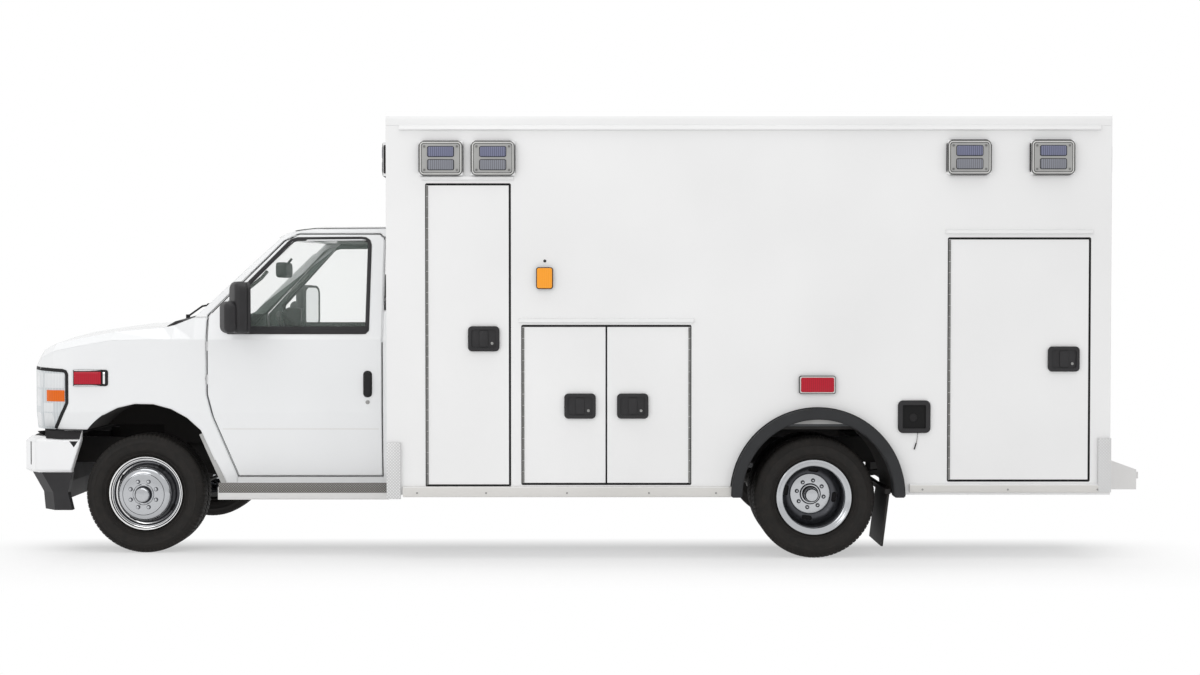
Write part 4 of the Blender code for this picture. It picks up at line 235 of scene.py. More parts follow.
def waveOn(tree, pitch, **settings):
    # bands on Object coordinates, one at each pitch
    coords = addNode(tree, "ShaderNodeTexCoord")
    return addNode(tree, "ShaderNodeTexWave", [(coords.outputs["Object"], "Vector")],
                   Scale=1 / pitch / 3.2, **settings).outputs["Fac"]


def lens(name, colour, shade, roughness=0.18, pitch=0.012, glow=0.0):
    # moulded acrylic lens over its reflector: fluted at each pitch
    mat, tree, shader = startMaterial(name, colour, roughness, Specular_IOR_Level=0.3)
    flutes = waveOn(tree, pitch, Distortion=0.4)
    mixColours(tree, shader, flutes, colour, shade)
    addBump(tree, shader, flutes, 0.0002)
    if glow:
        shader.inputs["Emission Color"].default_value = linear(colour)
        shader.inputs["Emission Strength"].default_value = glow
    return mat


def woven(name, colour, shade, thread=0.0022):
    # plain-weave seat cloth, a thread every 2.2 mm
    mat, tree, shader = startMaterial(name, colour, 0.9, Sheen_Weight=0.3)
    weave = product(tree, *[waveOn(tree, thread, bands_direction=axis) for axis in ("X", "Z")])
    mixColours(tree, shader, weave, colour, shade)
    addBump(tree, shader, weave, 0.0004)
    return mat


# masks: one where a node of the frame takes its second finish

def objectXYZ(tree):
    # the Object coordinates, with the distance from the vehicle's middle as y
    coords = addNode(tree, "ShaderNodeTexCoord")
    split = addNode(tree, "ShaderNodeSeparateXYZ", [(coords.outputs["Object"], "Vector")])
    return split.outputs["X"], calc(tree, "ABSOLUTE", split.outputs["Y"]), split.outputs["Z"]


def distanceFrom(tree, x, z, centre):
    run = calc(tree, "SUBTRACT", x, centre[0])
    rise = calc(tree, "SUBTRACT", z, centre[1])
    return calc(tree, "SQRT", calc(tree, "ADD", product(tree, run, run),
                                   product(tree, rise, rise)))


def cabinMask(tree):
    # inside the cab's skin, which leans in above 1.3 m, behind the windscreen and roof
    x, y, z = objectXYZ(tree)
    lean = product(tree, calc(tree, "MAXIMUM", calc(tree, "SUBTRACT", z, 1.3), 0), 0.26)
    rake = calc(tree, "SUBTRACT", z, product(tree, x, 0.746))
    return product(tree, below(tree, calc(tree, "ADD", y, lean), 0.960), below(tree, z, 1.955),
                   below(tree, rake, 3.168))


def archMask(tree):
    # inside the front wheel arch, and on what lies behind the fender's skin
    x, y, z = objectXYZ(tree)
    arch = product(tree, below(tree, distanceFrom(tree, x, z, (-2.6, 0.451)), 0.4552),
                   below(tree, y, 0.988), below(tree, x, -2.248))
    hidden = product(tree, below(tree, y, 0.93), above(tree, x, -3.06), below(tree, z, 1.0))
    low = product(tree, below(tree, y, 0.955), below(tree, z, 0.742))
    return calc(tree, "MAXIMUM", calc(tree, "MAXIMUM", arch, hidden), low)


def bumperMask(tree):
    # the back of the bumper: behind its front face, its corners and its ends
    x, y, _ = objectXYZ(tree)
    front = calc(tree, "SUBTRACT", product(tree, x, 0.97), product(tree, y, 0.25))
    corner = calc(tree, "SUBTRACT", product(tree, x, 0.71), product(tree, y, 0.70))
    return product(tree, above(tree, front, -3.412), above(tree, corner, -2.94),
                   below(tree, y, 0.935), above(tree, x, -3.350))


def hingeMask(tree):
    # the cab doors' hinge barrels, which show in the front shut line
    x, y, z = objectXYZ(tree)
    return product(tree, above(tree, z, 0.990), below(tree, z, 1.290), below(tree, x, -2.2140),
                   above(tree, y, 0.90))


def lockerMask(tree):
    # inside the module's side skin
    return below(tree, objectXYZ(tree)[1], 1.166)


def flareMask(tree):
    # the wheel-arch flare of the module's wall, and the edge of its arch
    x, y, z = objectXYZ(tree)
    distance = distanceFrom(tree, x, z, (1.435, 0.38))
    proud = product(tree, below(tree, distance, 0.513), above(tree, y, 1.2205))
    return calc(tree, "MAXIMUM", proud, below(tree, distance, 0.4540))


def twoTone(mat, maskOf, colour, roughness, metallic=0.0):
    # a second finish where the mask is one
    tree = mat.node_tree
    shader = tree.nodes["Principled BSDF"]
    mask = maskOf(tree)
    mix = addNode(tree, "ShaderNodeMix", [(shader.inputs["Base Color"].links[0].from_socket,
                                           "A"), (mask, "Factor")], data_type="RGBA")
    mix.inputs["B"].default_value = linear(colour)
    tree.links.new(mix.outputs["Result"], shader.inputs["Base Color"])
    for key, value in (("Roughness", roughness), ("Coat Weight", 0), ("Metallic", metallic)):
        socket = shader.inputs[key]
        before = socket.links[0].from_socket if socket.links else socket.default_value
        # before + mask * (value - before)
        change = product(tree, mask, calc(tree, "SUBTRACT", value, before))
        tree.links.new(calc(tree, "ADD", change, before), socket)
    return mat


def softEdges(mat, radius, samples=4):
    # rounds the look of the frame's sharp edges within a radius
    tree = mat.node_tree
    shader = tree.nodes["Principled BSDF"]
    edge = addNode(tree, "ShaderNodeBevel", Radius=radius)
    edge.samples = samples
    links = shader.inputs["Normal"].links
    bump = links[0].from_node if links else None
    if bump is not None and "Normal" in bump.inputs:
        tree.links.new(edge.outputs["Normal"], bump.inputs["Normal"])
    else:
        tree.links.new(edge.outputs["Normal"], shader.inputs["Normal"])
    return mat


bumperWhite = softEdges(twoTone(enamel("bumper_white_enamel", "F3F3F4", "EEEFF0", 0.18),
                                bumperMask, "1C1B1B", 0.8), 0.020)
modulePaint = softEdges(enamel("module_white_enamel", "F1F1F1", "ECECEC", 0.32), 0.004)
cabPaint = softEdges(enamel("cab_white_enamel", "EEEFF0", "E9EAEB", 0.26), 0.020)
cabTwoTone = twoTone(enamel("cab_enamel_and_trim", "EEEFF0", "E9EAEB", 0.26), cabinMask,
                     "6E7873", 0.6)
cabTwoTone = softEdges(twoTone(cabTwoTone, hingeMask, "19181A", 0.7), 0.012)
clipTwoTone = softEdges(twoTone(enamel("fender_enamel_and_liner", "EEEFF0", "E9EAEB", 0.26),
                                archMask, "242120", 0.85), 0.020)
wallTwoTone = twoTone(enamel("module_enamel_and_lockers", "F1F1F1", "ECECEC", 0.32),
                      lockerMask, "B9BCBE", 0.4, 0.8)
wallTwoTone = softEdges(twoTone(wallTwoTone, flareMask, "252527", 0.7), 0.004)
blackTrim = moulding("black_polypropylene", "2A292B", "232224", 0.5)
softBlack = moulding("black_rubber_seal", "19181A", "131214", 0.65)
linerBlack = moulding("arch_liner_felt", "2B2725", "1D1A19", 0.85, 0.004, 0.0006)
chassisBlack = moulding("chassis_black_wax", "1D1C1C", "2A2725", 0.6, 0.006, 0.0003)
tyreBlack = tyreRubber("tyre_rubber", "1A1816", "231F1C")
flareRubber = moulding("flare_rubber", "2B2C2E", "242527", 0.6)
# near-black for the filler well's floor: painted shade in the recess
fillerShadeBlack = moulding("filler_well_painted_shade", "0C0C0D", "080809", 0.8)
# white paint toned down to a grey as painted shade: the skirt rails, the door crease and the
# pillar seam
shadeGrey = enamel("painted_shade_grey", "DAD8D5", "D2D0CC", 0.42)
bezelGrey = moulding("lamp_bezel", "ABABA9", "A2A2A1", 0.4)
bezelPale = moulding("lamp_bezel_rim", "D2D2CF", "C8C8C6", 0.35)
hingeGrey = moulding("hinge_grey", "7E7E7C", "6C6C6A", 0.5)
boardPlate = treadPlate("running_board_plate", "5F5D5B", "9A9793", 0.030)
mirrorGlass = polished("mirror_silvering", "F4F6F6", 0.02)
reflectorGrey = lens("headlamp_reflector_blocks", "E6E8E9", "D6D8DA", 0.15, 0.010)
splashGrey = moulding("splash_strip_rubber", "B9B9B8", "A6A5A3", 0.6)
# dark satin steel as painted shade and painted reflection: the wheels' wells and grooves, and the
# washers
wheelShadeSteel = polished("wheel_steel_painted_shade", "55565A", 0.34)
wheelSteel = polished("polished_stainless", "E2E2E2", 0.09)
wheelChrome = polished("wheel_chrome", "BFC1C4", 0.15)
brightSteel = polished("chromed_steel", "EFEFEF", 0.07)
plateAluminium = treadPlate("aluminium_tread_plate", "CDCDCD", "E9E9E9")
foldedPlate = treadPlate("folded_tread_plate", "DDDCDB", "F2F2F2", topOnly=True)
windowGlass = clearGlass("cab_window_glass", "D6E4DC", 0.06)
doorGlass = clearGlass("body_window_glass", "4A5252", 0.55)
cabinGrey = moulding("cabin_grey_vinyl", "6E736E", "5C615C", 0.62)
cabinDark = moulding("cabin_dark_vinyl", "1A201E", "151A18", 0.6)
seatCloth = woven("seat_cloth", "5B5F5D", "474B49")
lampGrey = lens("warning_lamp_grey_lens", "8D8F98", "6F7178")
lampBlue = lens("warning_lamp_blue_grey", "7D8099", "5F6278")
amberLens = lens("amber_marker_lens", "F5A030", "EE9826", glow=0.08)
redLens = lens("red_marker_lens", "B8152C", "A01025", glow=0.05)
headLens = lens("headlamp_clear_lens", "D3D7D9", "C6CBCE", 0.15, 0.020)
turnLens = lens("headlamp_amber_block", "E2690F", "D25F0C", glow=0.05)
bareScrew = polished("zinc_screw", "9A9A98", 0.3)
floorVinyl = moulding("floor_vinyl", "55585A", "4A4D4F", 0.55)
print("materials made")

nodeFinish = {
    "chassis_frame": chassisBlack, "engine": chassisBlack, "fuel_tank": chassisBlack,
    "exhaust": bareScrew, "front_axle": chassisBlack, "rear_axle": chassisBlack,
    "knuckle": chassisBlack, "tie_rod": chassisBlack, "wheel": wheelSteel, "tyre": tyreBlack,
    "cab_shell": cabTwoTone, "front_clip": clipTwoTone, "grille": brightSteel, "hood": cabPaint,
    "windscreen": windowGlass, "dashboard": cabinDark, "front_bumper": bumperWhite,
    "bumper_valance": blackTrim, "headlamp": headLens, "seat": seatCloth,
    "running_board": foldedPlate, "cab_door": cabTwoTone, "cab_glass": windowGlass,
    "mirror": blackTrim, "module_floor": floorVinyl, "module": modulePaint,
    "module_wall_left": wallTwoTone, "module_wall_right": wallTwoTone,
    "locker_door": modulePaint, "entry_door": modulePaint, "entry_glass": doorGlass,
    "rear_door": modulePaint, "rear_glass": doorGlass, "rear_step": foldedPlate}


def finishFor(name):
    # the longest key that starts the node's name says its material
    keys = [key for key in nodeFinish if name.startswith(key)]
    return nodeFinish[max(keys, key=len)]


for name, obj in nodes.items():
    obj.data.materials.clear()
    obj.data.materials.append(finishFor(name))
print("frame nodes given their finishes")


# small modelling tools

def deselect():
    bpy.ops.object.select_all(action="DESELECT")


def activate(obj):
    deselect()
    obj.select_set(True)
    bpy.context.view_layer.objects.active = obj
    return obj


def settle(obj):
    # leaves the object at the origin, unturned, with its place in its mesh
    activate(obj)
    bpy.ops.object.transform_apply(location=True, rotation=True, scale=True)
    return obj


def applyAll(obj):
    activate(obj)
    for item in list(obj.modifiers):
        bpy.ops.object.modifier_apply(modifier=item.name)
    return obj


def bevelEdges(obj, width, segments=2, angle=30):
    item = obj.modifiers.new("bevel", "BEVEL")
    item.width = width
    item.segments = segments
    item.limit_method = "ANGLE"
    item.angle_limit = math.radians(angle)
    item.use_clamp_overlap = True
    return applyAll(obj)


def smooth(obj, angle=35):
    activate(obj)
    bpy.ops.object.shade_smooth_by_angle(angle=math.radians(angle))
    return obj


def cube(name, low, high, bevel=0.0, segments=2):
    deselect()
    middle = [(a + b) / 2 for a, b in zip(low, high)]
    bpy.ops.mesh.primitive_cube_add(size=1, location=middle)
    obj = bpy.context.object
    obj.name = name
    obj.scale = [abs(b - a) for a, b in zip(low, high)]
    settle(obj)
    if bevel:
        bevelEdges(obj, bevel, segments)
    return obj


def rod(name, start, end, radius, sides=24, bevel=0.0):
    # a round bar from one point to another
    deselect()
    start, end = Vector(start), Vector(end)
    bpy.ops.mesh.primitive_cylinder_add(vertices=sides, radius=radius,
                                        depth=(end - start).length,
                                        location=(start + end) / 2)
    obj = bpy.context.object
    obj.name = name
    obj.rotation_euler = (end - start).to_track_quat("Z", "Y").to_euler()
    settle(obj)
    if bevel:
        bevelEdges(obj, bevel, 2)
    return obj


def dome(name, place, radius, flat=(1, 1, 1), segments=16, rings=8):
    deselect()
    bpy.ops.mesh.primitive_uv_sphere_add(segments=segments, ring_count=rings, radius=radius,
                                         location=place)
    obj = bpy.context.object
    obj.name = name
    obj.scale = flat
    return settle(obj)


def fromData(name, points, faces, edges=()):
    mesh = bpy.data.meshes.new(name)
    mesh.from_pydata([tuple(p) for p in points], list(edges), [tuple(f) for f in faces])
    mesh.update()
    obj = bpy.data.objects.new(name, mesh)
    bpy.context.scene.collection.objects.link(obj)
    return obj


def outwards(obj, distance=0.00001):
    # merges doubles, then turns the faces out
    activate(obj)
    bpy.ops.object.mode_set(mode="EDIT")
    bpy.ops.mesh.select_all(action="SELECT")
    bpy.ops.mesh.remove_doubles(threshold=distance)
    bpy.ops.mesh.normals_make_consistent(inside=False)
    bpy.ops.object.mode_set(mode="OBJECT")
    return obj


def turned(name, profile, centre, steps=64, side=left):
    # spins a profile of (radius, distance) points about the Y line through centre;
    # the distance runs outwards on that side of the vehicle
    points = [(centre[0] + radius, side * out, centre[1]) for radius, out in profile]
    obj = fromData(name, points, (), [(i, i + 1) for i in range(len(points) - 1)])
    activate(obj)
    bpy.ops.object.mode_set(mode="EDIT")
    bpy.ops.mesh.select_all(action="SELECT")
    bpy.ops.mesh.spin(steps=steps, angle=2 * math.pi, center=(centre[0], 0, centre[1]),
                      axis=(0, 1, 0))
    bpy.ops.object.mode_set(mode="OBJECT")
    return outwards(obj, 0.00002)


def joined(name, pieces):
    deselect()
    for piece in pieces:
        piece.select_set(True)
    bpy.context.view_layer.objects.active = pieces[0]
    if len(pieces) > 1:
        bpy.ops.object.join()
    obj = bpy.context.object
    obj.name = name
    return obj


def cutWith(obj, tool, operation="DIFFERENCE"):
    item = obj.modifiers.new("cut", "BOOLEAN")
    item.operation = operation
    item.solver = "EXACT"
    item.object = tool
    applyAll(obj)
    bpy.data.objects.remove(tool, do_unlink=True)
    return obj


def place(obj, name, material, body=root, slotName=None, angle=35, replaced=()):
    # names a finished piece, gives it its finish and the body it rides on
    obj.name = name
    obj.data.materials.clear()
    obj.data.materials.append(material)
    smooth(obj, angle)
    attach(obj, body)
    if replaced:
        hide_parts(*replaced)
    return obj


def prism(name, outline, start, end, axis="Y", bevel=0.0, segments=2):
    # a closed form: an outline of two coordinates, extruded from start to end along an axis
    order = {"X": (2, 0, 1), "Y": (0, 2, 1), "Z": (0, 1, 2)}[axis]

    def spot(pair, level):
        values = (pair[0], pair[1], level)
        return tuple(values[order[k]] for k in range(3))

    obj = fromData(name, [spot(pair, start) for pair in outline],
                   [tuple(range(len(outline)))])
    activate(obj)
    shift = {"X": (end - start, 0, 0), "Y": (0, end - start, 0), "Z": (0, 0, end - start)}[axis]
    bpy.ops.object.mode_set(mode="EDIT")
    bpy.ops.mesh.select_all(action="SELECT")
    bpy.ops.mesh.extrude_region_move(TRANSFORM_OT_translate={"value": shift})
    bpy.ops.mesh.select_all(action="SELECT")
    bpy.ops.mesh.normals_make_consistent(inside=False)
    bpy.ops.object.mode_set(mode="OBJECT")
    if bevel:
        bevelEdges(obj, bevel, segments)
    return obj


def rounded(low, high, radius, steps=5):
    # the outline of a rounded rectangle between two corners
    points = []
    corners = ((high[0] - radius, high[1] - radius, 0), (low[0] + radius, high[1] - radius, 90),
               (low[0] + radius, low[1] + radius, 180), (high[0] - radius, low[1] + radius, 270))
    for x, z, turn in corners:
        for i in range(steps + 1):
            angle = math.radians(turn + 90 * i / steps)
            points.append((x + radius * math.cos(angle), z + radius * math.sin(angle)))
    return points


def arc(centre, radius, first, last, steps):
    # points on an arc, the angles in degrees from the first axis
    return [(centre[0] + radius * math.cos(math.radians(first + (last - first) * i / steps)),
             centre[1] + radius * math.sin(math.radians(first + (last - first) * i / steps)))
            for i in range(steps + 1)]


def band(name, path, width, start, end, axis="Y", bevel=0.0):
    # a strip of even width along an open path, extruded from start to end
    upper, lower = [], []
    for i, (a, b) in enumerate(path):
        before, after = path[max(i - 1, 0)], path[min(i + 1, len(path) - 1)]
        run = Vector((after[0] - before[0], after[1] - before[1])).normalized()
        upper.append((a - run.y * width / 2, b + run.x * width / 2))
        lower.append((a + run.y * width / 2, b - run.x * width / 2))
    return prism(name, upper + lower[::-1], start, end, axis, bevel, 1)


def loopBand(name, outline, width, start, end, axis="Y"):
    # a closed ring of even width inside an outline, extruded from start to end
    obj = prism(name, outline, start, end, axis)
    count = len(outline)
    middle = [sum(p[k] for p in outline) / count for k in (0, 1)]
    inner = []
    for i, (a, b) in enumerate(outline):
        before, after = outline[i - 1], outline[(i + 1) % count]
        run = Vector((after[0] - before[0], after[1] - before[1])).normalized()
        side = Vector((-run.y, run.x))
        if side.dot(Vector((middle[0] - a, middle[1] - b))) < 0:
            side = -side
        inner.append((a + side.x * width, b + side.y * width))
    over = (end - start) * 0.5
    return cutWith(obj, prism(name + "_inner", inner, start - over, end + over, axis))


def turnedCopies(obj, count, centre, first=0.0):
    # copies of one form spun about the Y line through centre, joined into one
    copies = []
    for i in range(count):
        twin = bpy.data.objects.new(obj.name, obj.data.copy())
        bpy.context.scene.collection.objects.link(twin)
        move = Vector((centre[0], 0, centre[1]))
        twin.data.transform(Matrix.Translation(-move))
        twin.data.transform(Matrix.Rotation(first + 2 * math.pi * i / count, 4, "Y"))
        twin.data.transform(Matrix.Translation(move))
        copies.append(twin)
    bpy.data.objects.remove(obj, do_unlink=True)
    return joined(copies[0].name, copies)


def secondFinish(obj, material, test):
    # gives a second finish to the faces whose centre passes the test
    obj.data.materials.append(material)
    index = len(obj.data.materials) - 1
    for face in obj.data.polygons:
        if test(face.center):
            face.material_index = index
    return obj


# tyres: 225/75 R16, carcass with ridges, and a separate ring of tread blocks
tyreSizes = {"half": 0.1095, "tread": 0.3586, "carcass": 0.3540, "foot": 0.2275,
             "blocks": 84, "grooveShare": 0.20, "steps": 96}


def makeTyre(name, centre, middle, body, replaced):
    half, foot = tyreSizes["half"], tyreSizes["foot"]
    carcass = tyreSizes["carcass"]
    side = [(foot, 0.0745), (foot + 0.004, 0.085), (foot + 0.012, 0.0925),
            (foot + 0.013, 0.0945), (foot + 0.017, 0.0945), (foot + 0.018, 0.0925),
            (foot + 0.034, 0.1035), (foot + 0.035, 0.1048), (foot + 0.038, 0.1048),
            (foot + 0.039, 0.1055), (foot + 0.060, half), (foot + 0.076, half),
            (foot + 0.078, half + 0.0012), (foot + 0.082, half + 0.0012),
            (foot + 0.084, half - 0.0005), (foot + 0.100, half - 0.005),
            (carcass - 0.012, half - 0.012), (carcass - 0.003, half - 0.020),
            (carcass, half - 0.030)]
    profile = side + [(radius, -out) for radius, out in reversed(side)]
    profile += [(0.2090, -0.0745), (0.2090, 0.0745), side[0]]
    shift = abs(middle)
    tyre = turned(name, [(radius, shift + out) for radius, out in profile], centre,
                  tyreSizes["steps"], left if middle < 0 else right)
    pitch = 2 * math.pi / tyreSizes["blocks"]
    width = pitch * tyreSizes["tread"] * (1 - tyreSizes["grooveShare"])
    blocks = []
    for sign in (left, right):
        outline = [(sign * (half - 0.0060), 0.3330), (sign * (half - 0.0090), 0.3430),
                   (sign * (half - 0.0170), 0.3530), (sign * (half - 0.0280), 0.3578),
                   (sign * 0.0480, tyreSizes["tread"]), (sign * 0.0480, 0.3420),
                   (sign * 0.0850, 0.3300)]
        blocks.append(prism("shoulder", outline, -width / 2, width / 2, "X"))
    for sign in (left, right):
        low, high = sorted((sign * 0.012, sign * 0.042))
        rib = cube("rib", (-width / 2, low, 0.3420), (width / 2, high, tyreSizes["tread"]))
        rib.data.transform(Matrix.Rotation(pitch / 2, 4, "Y"))
        blocks.append(rib)
    block = joined("tread_blocks", blocks)
    block.data.transform(Matrix.Translation((centre[0], middle, centre[1])))
    tread = turnedCopies(block, tyreSizes["blocks"], centre)
    place(joined(name, [tyre, tread]), name, tyreBlack, body, "tyre_rubber", 40, replaced)


# the axis of each wheel, and the tyres' middles
frontCentre = (frontAxleX, axleZ)
rearCentre = (rearAxleX, axleZ)
twinHalf = 0.1325
for sideName, side in sides:
    makeTyre("tyre_front_tread_" + sideName, frontCentre, side * frontTrackY,
             "wheel_front_" + sideName, ("tyre_front_" + sideName,))
    for ring, offset in (("outer", twinHalf), ("inner", -twinHalf)):
        makeTyre("tyre_rear_tread_" + sideName + "_" + ring, rearCentre,
                 side * (rearTrackY + offset), "wheel_rear_" + sideName,
                 ("tyre_rear_" + sideName + "_" + ring,))
print("tyres built")

# front wheel: chrome lip, stepped well darkened with painted shade and painted reflection, domed
# cover with nuts and a plain cap;
# the ring sizes are the two radii between which the turned rim has another finish
shadedCapGroove = (0.0432, 0.0485)
frontWheelSizes = {"steps": 96, "nutFace": 0.1408, "nutHeight": 0.017, "nutTurn": 22.5,
                   "slot": (0.045, 0.013), "slotCircle": 0.1785, "slotTurn": 30,
                   "slotMiddle": 0.070, "slotDepth": 0.036, "slotFloor": 0.0330,
                   "dark": ((0.160, 0.2045), shadedCapGroove, (0.1230, 0.1256), (0.0600, 0.0630)),
                   "notDark": ((0.1830, 0.1900), (0.1985, 0.2018)),
                   "bright": ((0.2045, 0.2300), (0.1830, 0.1900))}
nutSizes = {"count": 8, "circle": 0.0825, "radius": 0.0095}
frontFace = [(0.2215, 0.0755), (0.2240, 0.0800), (0.2235, 0.0850), (0.2210, 0.0872),
             (0.2165, 0.0872), (0.2130, 0.0850), (0.2105, 0.0800), (0.2085, 0.0765),
             (0.2045, 0.0755), (0.2030, 0.0700), (0.2018, 0.0650), (0.1975, 0.0640),
             (0.1960, 0.0580), (0.1950, 0.0520), (0.1915, 0.0505), (0.1890, 0.0470),
             (0.1830, 0.0452), (0.1775, 0.0448), (0.1735, 0.0490), (0.1710, 0.0600),
             (0.1690, 0.0740), (0.1668, 0.0900), (0.1640, 0.1030), (0.1600, 0.1110),
             (0.1585, 0.1150), (0.1560, 0.1195), (0.1500, 0.1262), (0.1420, 0.1325),
             (0.1330, 0.1370), (0.1262, 0.1388), (0.1245, 0.1368), (0.1232, 0.1396),
             (0.1200, 0.1406), (0.0640, 0.1414), (0.0615, 0.1445), (0.0570, 0.1475),
             (0.0525, 0.1475), (0.0480, 0.1450), (0.0455, 0.1440), (0.0440, 0.1480),
             (0.0432, 0.1680), (0.0412, 0.1770), (0.0360, 0.1822), (0.0250, 0.1842),
             (0.0002, 0.1850)]
frontBack = [(0.0002, 0.1160), (0.0308, 0.1160), (0.0308, 0.0300), (0.0600, 0.0300),
             (0.0600, 0.1270), (0.1180, 0.1270), (0.1450, 0.1080), (0.1650, 0.0350),
             (0.1850, 0.0102), (0.1940, -0.0765), (0.2240, -0.0850), (0.2240, -0.0790),
             (0.2035, -0.0735), (0.2035, 0.0735)]


def ringOf(spot, axleX, rings):
    # whether a place lies in one of some rings about an axle
    distance = math.hypot(spot.x - axleX, spot.z - axleZ)
    return any(first < distance < last for first, last in rings)


def makeNuts(name, centre, face, height, side, first):
    # domed nut covers on washers, spun about the axle
    x, z = centre
    z += nutSizes["circle"]
    radius = nutSizes["radius"]
    washer = rod("washer", (x, side * (face - 0.004), z), (x, side * (face + 0.0025), z),
                 radius * 1.35, 24, 0.0008)
    barrel = rod("barrel", (x, side * face, z), (x, side * (face + height * 0.75), z), radius,
                 6, 0.0008)
    cap = dome("cap", (x, side * (face + height * 0.72), z), radius * 0.93, (1, 0.55, 1), 18, 10)
    nuts = joined(name, [barrel, cap])
    return [turnedCopies(piece, nutSizes["count"], centre, first) for piece in (washer, nuts)]


def slotTools(centre, middle, side, radius, size, first, depth):
    # round-ended cutters for four hand slots, spun about the axle
    x, z = centre
    outline = rounded((x - size[0] / 2, z + radius - size[1] / 2),
                      (x + size[0] / 2, z + radius + size[1] / 2), size[1] * 0.42, 4)
    tool = prism("slot", outline, side * (middle - depth), side * (middle + depth))
    return turnedCopies(tool, 4, centre, first)


def makeWheels(end, centre, track, outline, sizes):
    # on each side a turned rim with blind hand slots, black floors in them as painted shade, nuts
    # and washers
    turn, slot = math.radians(sizes["slotTurn"]), sizes["slot"]
    for sideName, side in sides:
        body = "wheel_" + end + "_" + sideName
        profile = [(radius, track + out) for radius, out in outline]
        wheel = turned("rim", profile + profile[:1], centre, sizes["steps"], side)
        cutWith(wheel, slotTools(centre, track + sizes["slotMiddle"], side, sizes["slotCircle"],
                                 slot, turn, sizes["slotDepth"]))
        plugs = slotTools(centre, track + sizes["slotFloor"], side, sizes["slotCircle"],
                          (slot[0] + 0.0005, slot[1] + 0.0005), turn, 0.0035)
        place(plugs, "wheel_" + end + "_slot_shade_" + sideName, softBlack, body)
        place(wheel, "wheel_" + end + "_rim_" + sideName, wheelChrome, body, "bright_metal", 30,
              (body,))
        # the dark rings take the dark steel: painted shade and painted reflection in the well and
        # the grooves
        secondFinish(wheel, wheelShadeSteel, lambda spot: ringOf(spot, centre[0], sizes["dark"])
                     and not ringOf(spot, centre[0], sizes["notDark"]))
        if sizes["bright"]:
            secondFinish(wheel, brightSteel,
                         lambda spot: ringOf(spot, centre[0], sizes["bright"]))
        washers, nuts = makeNuts("nuts", centre, track + sizes["nutFace"], sizes["nutHeight"],
                                 side, math.radians(sizes["nutTurn"]))
        place(nuts, "wheel_" + end + "_nuts_" + sideName, wheelChrome, body, "bright_metal")
        # the washers in dark steel are a painted shadow round each nut
        place(washers, "wheel_" + end + "_washer_shadow_" + sideName, wheelShadeSteel, body)


makeWheels("front", frontCentre, frontTrackY, frontFace + frontBack, frontWheelSizes)
print("front wheels built")

# rear wheel: wide bright lip, deep dish with four holes, disc with nuts, ring and cap
# the rear dish and the cap groove take the dark steel as painted shade
rearWheelSizes = {"steps": 96, "nutFace": 0.0240, "nutHeight": 0.015, "nutTurn": 12,
                  "slot": (0.062, 0.026), "slotCircle": 0.1450, "slotTurn": 8,
                  "slotMiddle": 0.052, "slotDepth": 0.054, "slotFloor": 0.0,
                  "dark": ((0.1235, 0.1830), shadedCapGroove), "notDark": (), "bright": ()}
rearLip = [(0.2215, 0.2085), (0.2240, 0.2125), (0.2232, 0.2172), (0.2205, 0.2190),
           (0.2150, 0.2185), (0.2110, 0.2160), (0.2060, 0.2115), (0.2000, 0.2085),
           (0.1930, 0.2068), (0.1870, 0.2030), (0.1838, 0.1960), (0.1828, 0.1850),
           (0.1820, 0.1200), (0.1810, 0.0760), (0.1760, 0.0520), (0.1600, 0.0300),
           (0.1420, 0.0190), (0.1300, 0.0150), (0.1240, 0.0135), (0.1228, 0.0190),
           (0.1190, 0.0225), (0.1140, 0.0235), (0.0640, 0.0240), (0.0615, 0.0300),
           (0.0560, 0.0350), (0.0500, 0.0350), (0.0450, 0.0310), (0.0442, 0.0600),
           (0.0430, 0.0960), (0.0405, 0.1070), (0.0350, 0.1125), (0.0240, 0.1143),
           (0.0002, 0.1148)]
rearBack = [(0.0002, -0.0200), (0.0370, -0.0200), (0.0370, -0.0900), (0.0800, -0.0900),
            (0.0800, -0.0119), (0.1229, -0.0119), (0.1600, -0.0298), (0.1850, -0.0646),
            (0.1900, -0.2074), (0.2240, -0.2175), (0.2240, -0.2115), (0.2035, -0.2060),
            (0.2035, -0.0590), (0.1960, -0.0502), (0.1750, -0.0100), (0.1750, 0.0100),
            (0.1960, 0.0502), (0.2035, 0.0590), (0.2035, 0.2060)]
makeWheels("rear", rearCentre, rearTrackY, rearLip + rearBack, rearWheelSizes)
print("rear wheels built")


# places on the module, in metres
moduleFront, moduleRear = -1.1055, 3.1585
flareCentre = (1.435, 0.38)


def boxOf(name):
    # the low and high corners of a frame node
    obj = nodes[name]
    corners = [obj.matrix_world @ v.co for v in obj.data.vertices]
    return ([min(c[k] for c in corners) for k in range(3)],
            [max(c[k] for c in corners) for k in range(3)])


def inset(low, high, amount):
    return ((low[0] + amount, low[1] + amount), (high[0] - amount, high[1] - amount))


def onWall(axis, across, level, up):
    # a place on a side wall (axis Y) or on an end wall (axis X)
    return (across, level, up) if axis == "Y" else (level, across, up)


# warning lights: gasket, pale rim, grey face, two lamp modules and four screws each
lightSizes = {"proud": 0.0330, "corner": 0.030, "root": 0.010, "moduleShare": 0.62,
              "moduleHeight": 0.064, "moduleOffset": 0.0385, "screw": 0.0070,
              "screwInset": 0.0325, "screwHead": 0.0065, "sideSize": (0.2558, 0.2025),
              "endMiddle": 0.9826, "endHalf": 0.1287, "endLow": 2.2620, "endHigh": 2.4630}


